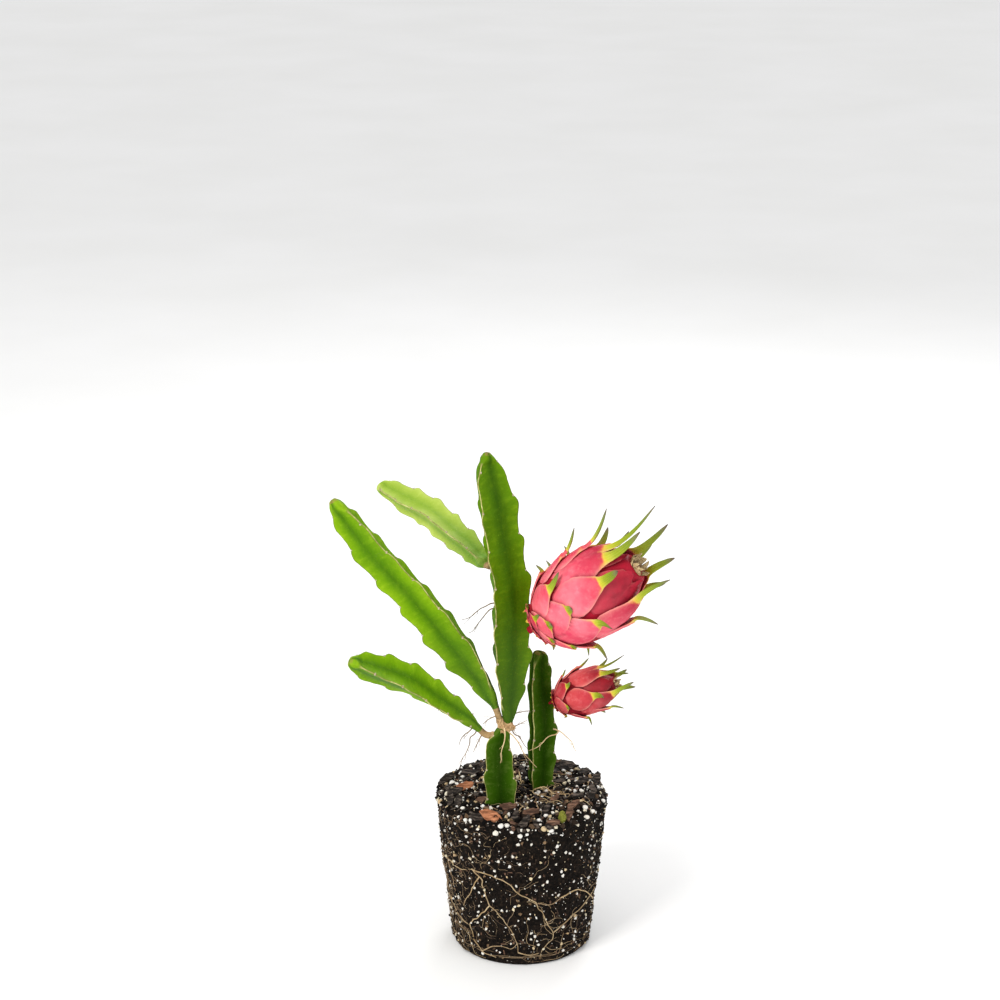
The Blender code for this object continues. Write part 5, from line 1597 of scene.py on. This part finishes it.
soil = soil_piece()
place_piece(soil, "soil", "root_ball")
soil_tree = BVHTree.FromObject(soil, bpy.context.evaluated_depsgraph_get())
print("soil height:", round(max(v.co.z for v in soil.data.vertices) / MM, 1), "mm")

# %% [markdown]
# ## Scattering grains
#
# Potting mix is thousands of loose bits, so it asks for Geometry Nodes: points are spread
# over the soil's skin with a least distance, and each gets a grain picked from a handful of
# shapes, turned and sized by chance from a fixed seed. The grains have only a few dozen
# faces each. A number stored on every grain lets its material vary from one to the next.

# %% Grain shapes
def grain_shapes(label, count, corners, stretch, seed):
    """A collection of small angular grains of about unit size, not linked to the scene."""
    group = bpy.data.collections.new(label)
    chance = random.Random(seed)
    for number in range(count):
        shape = bmesh.new()
        for _ in range(corners):
            away = Vector([chance.gauss(0, 1) for _ in range(3)]).normalized() * chance.uniform(0.78, 1.1)
            shape.verts.new([away[k] * stretch[k] for k in range(3)])
        hull = bmesh.ops.convex_hull(shape, input=shape.verts)
        loose = [v for v in hull["geom_interior"] if isinstance(v, bmesh.types.BMVert)]
        bmesh.ops.delete(shape, geom=loose, context="VERTS")
        bmesh.ops.recalc_face_normals(shape, faces=shape.faces)
        mesh = bpy.data.meshes.new(f"{label}_{number}")
        shape.to_mesh(mesh)
        shape.free()
        group.objects.link(bpy.data.objects.new(f"{label}_{number}", mesh))
    return group


round_grains = grain_shapes("round_grain", 6, 18, (1.0, 0.9, 0.8), 3)
clods = grain_shapes("clod", 5, 12, (1.0, 0.8, 0.65), 4)
flakes = grain_shapes("flake", 5, 14, (1.7, 0.7, 0.28), 5)


# %% The scatter tree
def scatter_tree(label, group, made, seed, flat=False):
    """A tree that strews a collection's shapes over a mesh where its mask number is 1."""
    tree, given, result = new_tree(label, [
        ("Distance", NUMBER, 2.0 * MM), ("Density", NUMBER, 100000.0), ("Small", NUMBER, 0.4 * MM),
        ("Large", NUMBER, 1.6 * MM), ("Lift", NUMBER, 0.0)])
    inputs = {"Mesh": given["Geometry"], "Distance Min": given["Distance"], "Density Max": given["Density"],
              "Density Factor": stored_number(tree, "mask"), "Seed": seed}
    spread = add(tree, "GeometryNodeDistributePointsOnFaces", inputs, distribute_method="POISSON").outputs
    offset = add(tree, "ShaderNodeVectorMath", {0: spread["Normal"], "Scale": given["Lift"]},
                 operation="SCALE").outputs[0]
    points = geo(tree, "SetPosition", {"Geometry": spread["Points"], "Offset": offset})
    shapes = geo(tree, "CollectionInfo", {"Collection": group, "Separate Children": True,
                                          "Reset Children": True})
    low, high = ((-0.45, -0.45, 0.0), (0.45, 0.45, math.tau)) if flat else ((0.0,) * 3, (math.tau,) * 3)
    spin = random_value(tree, low, high, seed + 1, "FLOAT_VECTOR")
    turn = add(tree, "FunctionNodeEulerToRotation", {0: spin}).outputs[0]
    if flat:
        turn = add(tree, "FunctionNodeRotateRotation", {"Rotation": spread["Rotation"], "Rotate By": turn},
                   rotation_space="LOCAL").outputs[0]
    biased = calc(tree, "POWER", random_value(tree, 0.0, 1.0, seed + 2), 2.2)
    reach = calc(tree, "SUBTRACT", given["Large"], given["Small"])
    size = plus(tree, given["Small"], times(tree, biased, reach))
    placed = geo(tree, "InstanceOnPoints", {"Points": points, "Instance": shapes, "Pick Instance": True,
                                            "Rotation": turn, "Scale": size})
    shade = random_value(tree, 0.0, 1.0, seed + 3)
    shaded = geo(tree, "StoreNamedAttribute", {"Geometry": placed, "Name": "shade", "Value": shade},
                 data_type="FLOAT", domain="INSTANCE")
    tree.links.new(real(tree, shaded, made), result)
    return tree


def strew(name, host, mask_of, tree, distance, density, small, large, lift):
    """A new piece of grains over a host mesh; mask_of gives 0 to 1 for a point in millimetres."""
    obj = bpy.data.objects.new(name, host.data.copy())
    scene.collection.objects.link(obj)
    store(obj.data, "mask", [mask_of(np.array(v.co) / MM) for v in obj.data.vertices])
    bake_tree(obj, tree, {"Distance": distance * MM, "Density": float(density), "Small": small * MM,
                          "Large": large * MM, "Lift": lift * MM})
    place_piece(obj, "soil")


# %% Finishes of the grains
perlite, tree, shader = finish_material("perlite")
colour = ramp(tree, attribute(tree, "shade"), [
    (0.0, (0.95, 0.94, 0.90)), (0.60, (0.90, 0.86, 0.76)), (0.85, (0.80, 0.68, 0.42)),
    (1.0, (0.60, 0.40, 0.20))])
pits = span(tree, cloud(tree, 1900.0, 4.0, 0.7), 0.40, 0.55, 0.45, 0.0)
feed(tree, shader, mix(tree, pits, colour, (0.30, 0.25, 0.19)), 0.9)
bump(tree, shader, cloud(tree, 1900.0, 5.0, 0.7), 1.0, 0.0006)

clod_earth, tree, shader = finish_material("soil_clod")
colour = ramp(tree, attribute(tree, "shade"), [
    (0.0, DARK_EARTH), (0.55, (0.0050, 0.0037, 0.0029)), (0.82, (0.028, 0.018, 0.012)),
    (0.94, (0.110, 0.068, 0.040)), (1.0, (0.28, 0.18, 0.10))])
grit = span(tree, cloud(tree, 1600.0, 4.0, 0.7), 0.35, 0.7, 0.5, 1.6)
grit = add(tree, "ShaderNodeCombineColor", {0: grit, 1: grit, 2: grit}).outputs[0]
feed(tree, shader, mix(tree, 1.0, colour, grit, "MULTIPLY"), 0.95, 0.15)
bump(tree, shader, cloud(tree, 1600.0, 5.0, 0.7), 1.0, 0.0008)


def bark_finish(name, light, dark):
    """Layered bark, streaked along its grain."""
    made, tree, shader = finish_material(name)
    layers = cloud(tree, 300.0, 6.0, 0.7, (0.35, 1.0, 2.2))
    colour = ramp(tree, layers, [(0.32, toned(dark, 0.35)), (0.48, dark), (0.66, light)])
    dust = span(tree, cloud(tree, 800.0, 3.0), 0.60, 0.72, 0.0, 0.35)
    feed(tree, shader, mix(tree, dust, colour, (0.06, 0.04, 0.03)), 0.85, 0.2)
    bump(tree, shader, layers, 1.0, 0.0012)
    return made


orange_bark = bark_finish("orange_bark", (0.62, 0.27, 0.14), (0.34, 0.13, 0.06))
brown_bark = bark_finish("brown_bark", (0.27, 0.150, 0.095), (0.085, 0.044, 0.028))
dark_bark = bark_finish("dark_bark", (0.150, 0.118, 0.096), (0.012, 0.009, 0.007))

# %% Strew the grains
STEM_PLACES = np.array([(-18.2, -30.0), (14.8, 0.0)])
STEM_CLEAR = 13  # no grains this near to a stem's middle, in millimetres


def on_wall(p):
    """1 on the ball's wall."""
    return 1.0 if 2.5 < p[2] < 137 and math.hypot(p[0], p[1]) > 55 else 0.0


def on_top(p):
    """1 on the ball's top, clear of the stems."""
    clear = np.linalg.norm(STEM_PLACES - p[:2], axis=1).min()
    return 1.0 if p[2] > 134 and clear > STEM_CLEAR else 0.0


pearl = scatter_tree("strewn perlite", round_grains, perlite, 41)
crumb = scatter_tree("strewn clods", clods, clod_earth, 51)
chaff = scatter_tree("strewn bark", flakes, dark_bark, 61, flat=True)
chaff_brown = scatter_tree("strewn brown bark", flakes, brown_bark, 71, flat=True)
GRAINS = {  # where, tree, least distance in mm, grains per square metre, smallest, largest, lift in mm
    "wall_perlite": (on_wall, pearl, 2.6, 30000, 0.32, 2.1, 0),
    "top_perlite": (on_top, pearl, 2.7, 40000, 0.5, 2.5, 1.0),
    "wall_clods": (on_wall, crumb, 1.7, 95000, 0.5, 2.3, 0),
    "top_clods": (on_top, crumb, 2.0, 90000, 0.6, 4.8, 0.4),
    "top_bark_flakes": (on_top, chaff, 3.6, 28000, 1.0, 5.2, 1.0),
    "top_brown_flakes": (on_top, chaff_brown, 5.0, 9000, 0.9, 3.6, 1.3),
    "wall_bark_flakes": (on_wall, chaff_brown, 4.0, 9000, 0.5, 1.9, 0),
}
for name, (where, tree, *values) in GRAINS.items():
    strew(name, soil, where, tree, *values)

# %% [markdown]
# ## Bark chips
#
# Larger chips of bark lie on the top. Each is a thin stack of layers with a torn outline,
# laid on the soil at its own place and tilted to the front. Two are fresh and orange, some
# are brown and the rest dark.

# %% Make the chips
CHIPS = [  # x, y, turn and length; the first 14 are in the solids too
    (-50, -4, 20, 15), (-28, -60, -30, 16), (-13, -44, 10, 13), (26, -67, 5, 11), (44, -40, 40, 12),
    (-6, -62, 60, 9), (-46, 27, 0, 14), (-55, -31, 80, 11), (52, 8, 30, 12), (20, 52, 15, 13),
    (-20, 50, -40, 12), (15, 31, 5, 10), (60, -18, 70, 10), (36, 36, -20, 11), (-34, -28, 10, 10),
    (40, -56, 75, 11), (28, -30, 30, 8), (55, 32, 60, 14), (41, 46, -20, 13), (7, -54, 15, 12),
    (-66, 14, 40, 13), (-38, -58, -10, 12), (62, -4, 100, 11), (-20, 20, 30, 12), (2, -69, 55, 11),
    (-58, -14, 20, 13), (-44, 48, 25, 13), (4, 64, 5, 12), (66, 18, 80, 12), (-62, -26, 65, 11),
    (20, -50, 70, 10), (48, -22, 15, 10),
]
CHIP_LIFT = 2.1  # a chip's middle stands this far off the soil, so that grains don't come through
ORANGE_CHIPS = (0, 1)
BROWN_CHIPS = (2, 3, 4, 9, 11, 14, 15, 16, 19)
CHIP_BARKS = {**dict.fromkeys(BROWN_CHIPS, brown_bark), **dict.fromkeys(ORANGE_CHIPS, orange_bark)}
CHIP_LAYERS = (  # height over the chip's middle and size of the outline, from below
    (-1.5, 0.90), (-1.4, 1.0), (-0.5, 0.96), (-0.4, 1.02), (0.4, 0.97), (0.5, 1.0), (1.2, 0.94), (1.3, 0.86))
LAYER_HEIGHT = 0.09  # a share of the length
SIDE_STEPS = 4  # points on each side of the outline
JAG = 0.35  # how torn the sides are, in millimetres


def over_top(x, y, off):
    """The point over (x, y) that stands off the soil's top."""
    hit = soil_tree.ray_cast(Vector((x * MM, y * MM, 0.3)), Vector((0, 0, -1)))[0]
    return np.array([x, y, hit.z / MM + off])


def chip_outline(length, draw):
    """The torn outline of a chip, and half its width."""
    half, wide = 0.66 * length, draw.uniform(0.25, 0.31) * length
    corners = [(-half, -0.25 * wide), (-0.25 * half, -wide), (0.7 * half, -0.75 * wide), (half, 0.3 * wide),
               (0.35 * half, wide), (-0.6 * half, 0.8 * wide)]
    corners = [(a + draw.uniform(-0.09, 0.09) * length, b + draw.uniform(-0.05, 0.05) * length)
               for a, b in corners]
    outline = []
    for (ax, ay), (bx, by) in zip(corners, corners[1:] + corners[:1]):
        for k in range(SIDE_STEPS):
            t, jag = k / SIDE_STEPS, JAG if k else 0.0
            outline.append((ax + (bx - ax) * t + draw.uniform(-jag, jag),
                            ay + (by - ay) * t + draw.uniform(-jag, jag)))
    return np.array(outline), wide


def chip_piece(number, x, y, turn, length, draw):
    """A torn flake of layered bark, tilted toward the viewer's side."""
    outline, wide = chip_outline(length, draw)
    lean = math.radians(draw.uniform(22, 40) if y < 20 else draw.uniform(-10, 25))
    spin = np.array(Matrix.Rotation(lean, 3, "X") @ Matrix.Rotation(math.radians(turn), 3, "Z"))
    centre = over_top(x, y, CHIP_LIFT + 0.55 * wide * math.sin(abs(lean)))
    warp = np.array([0.45 * rough((px, py * 2, 7.0 * number), 3.0) for px, py in outline])
    rings = []
    for z, size in CHIP_LAYERS:
        height = z * LAYER_HEIGHT * length / CHIP_LAYERS[-1][0]
        rings.append(centre + np.column_stack([outline * size, height + warp]) @ spin.T)
    made = CHIP_BARKS.get(number, dark_bark)
    faces = loft_faces(len(rings), len(outline))
    return outward(new_piece(f"bark_chip_{number}", capped(rings), faces, [made], smooth=False))


draw = random.Random(23)
for number, chip in enumerate(CHIPS):
    place_piece(chip_piece(number, *chip, draw), "soil")

# %% Large perlite
LARGE_PERLITE = [  # where the largest grains lie: x, y, height and radius
    (-61, 10, 140, 2.9), (-57, 7, 141, 2.1), (-53, 12, 141, 2.1), (-52, 22, 141, 1.9),
    (-59, 23, 140, 1.5), (-36, -14, 142, 2.1), (-34, -40, 141, 2.1), (-39, -46, 141, 2.1),
    (-51, -40, 140, 2.1), (-23, -33, 142, 1.9), (-20, -42, 142, 1.5), (-27, -28, 142, 1.5),
    (-40, -29, 141, 1.8), (-18, -69, 137, 2.7), (-13, -69, 138, 2.4), (-22, -70, 132, 2.5),
    (-9, -73, 134, 1.8), (-11, -63, 140, 1.6), (-48, -54, 136, 1.9), (-44, -56, 137, 1.6),
    (-54, -48, 136, 1.6), (5, -65, 139, 2.3), (14, -63, 140, 2.1), (20, -57, 141, 2.1),
    (18, -70, 135, 2.7), (24, -70, 134, 2.4), (44, -30, 141, 2.1), (51, -28, 141, 1.8),
    (57, -26, 140, 1.6), (54, -39, 139, 2.4), (60, -39, 137, 2.0), (54, -48, 135, 2.3),
    (52, -8, 141, 2.3), (69, -19, 137, 2.0), (67, -9, 139, 1.8), (61, 11, 140, 1.5), (48, 19, 141, 1.5),
    (55, 21, 141, 1.7), (41, 9, 142, 1.8), (37, 33, 141, 2.1), (-70, -6, 138, 2.9),
    (-65, -11, 139, 2.2), (-70, -18, 136, 2.4), (-64, -32, 137, 1.8), (-2, -74, 131, 2.3),
    (4, -74, 132, 1.5), (21, -47, 141, 1.4), (39, -6, 142, 1.3), (1, 48, 141, 1.5), (3, 70, 138, 1.5),
]
BACK_GRAINS = 26  # more by chance on the far side, where none are listed


def back_grains(draw):
    """Large grains on the far side of the top."""
    found = []
    for _ in range(BACK_GRAINS):
        turn, far = math.radians(draw.uniform(10, 170)), 68 * math.sqrt(draw.random())
        found.append((far * math.cos(turn), far * math.sin(turn), 141, draw.uniform(1.3, 2.4)))
    return found


def large_grains(draw):
    """The large perlite grains in one piece, each resting in the soil's surface."""
    grains = []
    for x, y, z, radius in LARGE_PERLITE + back_grains(draw):
        found, normal, _, _ = soil_tree.find_nearest(Vector((x, y, z)) * MM)
        centre = np.array(found) / MM + np.array(normal) * 0.45 * radius
        halves = radius * np.array([1.0, draw.uniform(0.75, 1), draw.uniform(0.65, 0.9)])
        ball, faces = ball_points(centre, halves, 7, 11)
        ball = [p + 0.28 * radius * rough(p, 0.9 * radius) * unit(p - centre) for p in ball]
        grains.append((ball, faces, {"shade": [draw.random() ** 1.5] * len(ball)}))
    verts, faces, numbers = joined(grains)
    return outward(new_piece("large_perlite", verts, faces, [perlite], numbers))


place_piece(large_grains(draw), "soil")

# %% [markdown]
# ## Roots on the ball
#
# Where the pot held the soil, roots ran along its wall and circled its foot. The larger ones
# are the same lines as in the solids. Fine ones fill the gaps: they wander over the surface
# by chance, always laid on the soil by a ray that is shot at it.

# %% Root lines
WALL_ROOTS = [
    [(-38, 90), (-25, 89), (-12, 84), (-2, 73), (10, 64), (15, 52), (21, 38), (25, 31), (25, 25),
     (16, 13), (15, 7)],
    [(-38, 90), (-32, 85), (-28, 70), (-25, 58), (-19, 52), (-14, 46), (-9, 36), (-4, 23), (-3, 13)],
    [(-66, 87), (-52, 85), (-38, 90)],
    [(-66, 87), (-61, 64), (-56, 51)],
    [(-32, 85), (-43, 63), (-51, 48)],
    [(-25, 58), (-34, 45), (-45, 32), (-42, 19), (-34, 10), (-22, 6)],
    [(-34, 10), (-19, 19), (-6, 18), (-4, 23)],
    [(-3, 13), (11, 11), (16, 13)],
    [(10, 64), (22, 60), (30, 65)],
]
WALKS = [((30, 65), 1), ((-66, 87), -1), ((25, 31), 1), ((-45, 32), -1)]
WALK_STEPS = 14
LOWEST, HIGHEST = 3.0, 136.0  # where fine roots run on the wall
TOP_ROOTS = [
    [(-3, 36), (-1, 14), (0, 0), (5, -11), (13, -20), (22, -25), (32, -31)],
    [(13, -20), (12, -28), (13, -38), (17, -55)],
    [(-6, -52), (3, -38), (7, -27), (13, -20)],
    [(13, -20), (25, -20), (36, -17), (46, -18)],
    [(-1, 14), (-6, 9), (-14, 6), (-22, -2)],
]


def on_wall_point(angle, height, off):
    """The point at an angle from the front and a height that stands off the wall."""
    turn = math.radians(angle)
    away = Vector((math.sin(turn), -math.cos(turn), 0))
    hit = soil_tree.ray_cast(away * 0.2 + Vector((0, 0, height * MM)), -away)[0]
    far = hit.dot(away) / MM if hit else BALL_BASE_RADIUS
    return np.array(away) * (far + off) + np.array([0, 0, height])


def dense(points, step):
    """Points every few units along a smooth curve through flat (a, b) pairs."""
    path = Path([(a, b, 0.0) for a, b in points])
    count = max(2, round(path.length / step))
    return [tuple(path.at(path.length * k / count)[:2]) for k in range(count + 1)]


def root_walks():
    """The long roots that wander on round the back of the ball."""
    chance = random.Random(7)
    walks = []
    for (angle, height), way in WALKS:
        walk = [(angle, height)]
        drift = chance.uniform(-3, 3)
        for _ in range(WALK_STEPS):
            angle += way * chance.uniform(6, 13)
            drift = 0.6 * drift + chance.uniform(-6, 6)
            height = min(max(height + drift, 8), 118)
            walk.append((angle, height))
        walks.append(walk)
    return walks


def fine_walk(chance, low, high, steps):
    """A fine root's line over the wall: (angle, height) pairs."""
    angle, height = chance.uniform(0, 360), chance.uniform(low, high)
    heading = chance.uniform(0, math.tau)
    walk = []
    for _ in range(steps):
        walk.append((angle, height))
        heading += chance.gauss(0, 0.5)
        angle += math.cos(heading) * 3.2
        height = min(max(height + math.sin(heading) * 3.6 - 0.3, LOWEST), HIGHEST)
    return walk


def hair_walk(chance):
    """A short hair's line, most often on the left of the wall."""
    angle, height = chance.gauss(-62, 22), chance.uniform(20, 134)
    heading, walk = chance.uniform(0, math.tau), []
    for _ in range(chance.randint(3, 6)):
        walk.append((angle, min(max(height, LOWEST), HIGHEST - 1)))
        heading += chance.gauss(0, 0.8)
        angle, height = angle + 1.8 * math.cos(heading), height + 2.2 * math.sin(heading)
    return walk


# %% Make the roots on the wall
FINE_ROOTS, HAIRS, FOOT_ROOTS = 180, 260, 9
MAIN_RADII, HAIR_RADII, FOOT_RADII = (0.56, 0.28), (0.16, 0.10), (0.30, 0.12)
chance = random.Random(17)
main_lines = []
for line in WALL_ROOTS + root_walks():
    points = [on_wall_point(a + chance.gauss(0, 0.35), h, 0.55) for a, h in dense(line, 4.0)]
    main_lines.append((points, MAIN_RADII, chance.uniform(0.15, 0.65)))
place_piece(tube_piece("wall_root_net", main_lines), "dry_root", "wall_roots")

fine_lines = []
for number in range(FINE_ROOTS):
    walk = fine_walk(chance, 3, 70 if number % 3 else 132, chance.randint(5, 16))
    points = [on_wall_point(a, h, 0.35) for a, h in walk]
    size = chance.uniform(0.10, 0.28)
    fine_lines.append((points, (size, 0.5 * size), chance.uniform(0.3, 1.0)))
for _ in range(HAIRS):
    points = [on_wall_point(a, h, 0.5 + chance.random()) for a, h in hair_walk(chance)]
    fine_lines.append((points, HAIR_RADII, chance.uniform(0.5, 1.0)))
for _ in range(FOOT_ROOTS):
    start, level = chance.uniform(0, 360), chance.uniform(4, 13)
    arc = [(start + 9 * k, level + 2.6 * rough((k * 1.7, level, 0), 3.0))
           for k in range(chance.randint(4, 9))]
    fine_lines.append(([on_wall_point(a, h, 0.4) for a, h in arc], FOOT_RADII, 0.7))
place_piece(tube_piece("fine_wall_roots", fine_lines, sides=5, spacing=1.8), "dry_root")

# %% Make the roots on the top
TANGLE = 90  # fine roots on the top
IN_FRONT = 30  # of them, in front of the right cutting
top_lines = []
for line in TOP_ROOTS:
    points = [over_top(x + chance.gauss(0, 0.3), y + chance.gauss(0, 0.3), 1.0) for x, y in dense(line, 3.0)]
    top_lines.append((points, (0.55, 0.32), chance.uniform(0.0, 0.4)))
place_piece(tube_piece("top_root_net", top_lines, sides=7), "dry_root", "top_roots")

tangle = []
for number in range(TANGLE):
    far, turn = 66 * math.sqrt(chance.random()), chance.uniform(0, math.tau)
    x, y, heading = far * math.cos(turn), far * math.sin(turn), chance.uniform(0, math.tau)
    if number < IN_FRONT:
        x, y = 16 + chance.gauss(0, 13), -20 + chance.gauss(0, 11)
    points = []
    for _ in range(chance.randint(4, 9)):
        if math.hypot(x, y) < 70:
            points.append(over_top(x, y, chance.uniform(0.5, 2.4)))
        heading += chance.gauss(0, 0.7)
        x, y = x + 3 * math.cos(heading), y + 3 * math.sin(heading)
    if len(points) > 3:
        size = chance.uniform(0.14, 0.34)
        tangle.append((points, (size, 0.5 * size), chance.uniform(0.0, 0.8)))
place_piece(tube_piece("top_fine_roots", tangle, sides=5, spacing=1.6), "dry_root")

# %% [markdown]
# ## Moss
#
# A tuft of yellow-green moss stands near the front edge. It is a soft upright lump with many
# tiny leaves, which the scatter tree strews over it.

# %% Make the moss
MOSS_HALVES = np.array([3.0, 2.7, 5.4])
moss_green, tree, shader = finish_material("moss")
colour = ramp(tree, attribute(tree, "shade"), [(0.0, (0.10, 0.12, 0.012)), (0.5, (0.28, 0.30, 0.025)),
                                               (1.0, (0.52, 0.50, 0.08))])
feed(tree, shader, mix(tree, times(tree, cloud(tree, 900.0), 0.5), colour, (0.10, 0.10, 0.015)), 0.9)
bump(tree, shader, cloud(tree, 2200.0, 3.0), 0.8, 0.0005)

leaflets = grain_shapes("moss_leaf", 4, 9, (0.35, 0.5, 1.6), 6)
moss_tree = scatter_tree("strewn moss leaves", leaflets, moss_green, 81)
verts, faces = ball_points(over_top(34.0, -62.0, 3.4), MOSS_HALVES, 12, 20)
verts = np.array([v + 0.9 * rough(v, 2.5) * unit(v - verts.mean(0)) for v in verts])
moss_lump = outward(new_piece("moss_lump", verts, faces, [moss_green], {"shade": [0.3] * len(verts)}))
place_piece(moss_lump, "soil")
strew("moss_leaves", moss_lump, lambda p: 1.0, moss_tree, 0.45, 4000000, 0.35, 0.8, 0.2)

# %% [markdown]
# ## Sizes
#
# Both boxes, the solids' and the finished plant's, are printed.

# %% Write the sizes
sizes = {"cad": [list(corner) for corner in solid_box], "visual": [list(corner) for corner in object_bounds()]}
print(sizes)
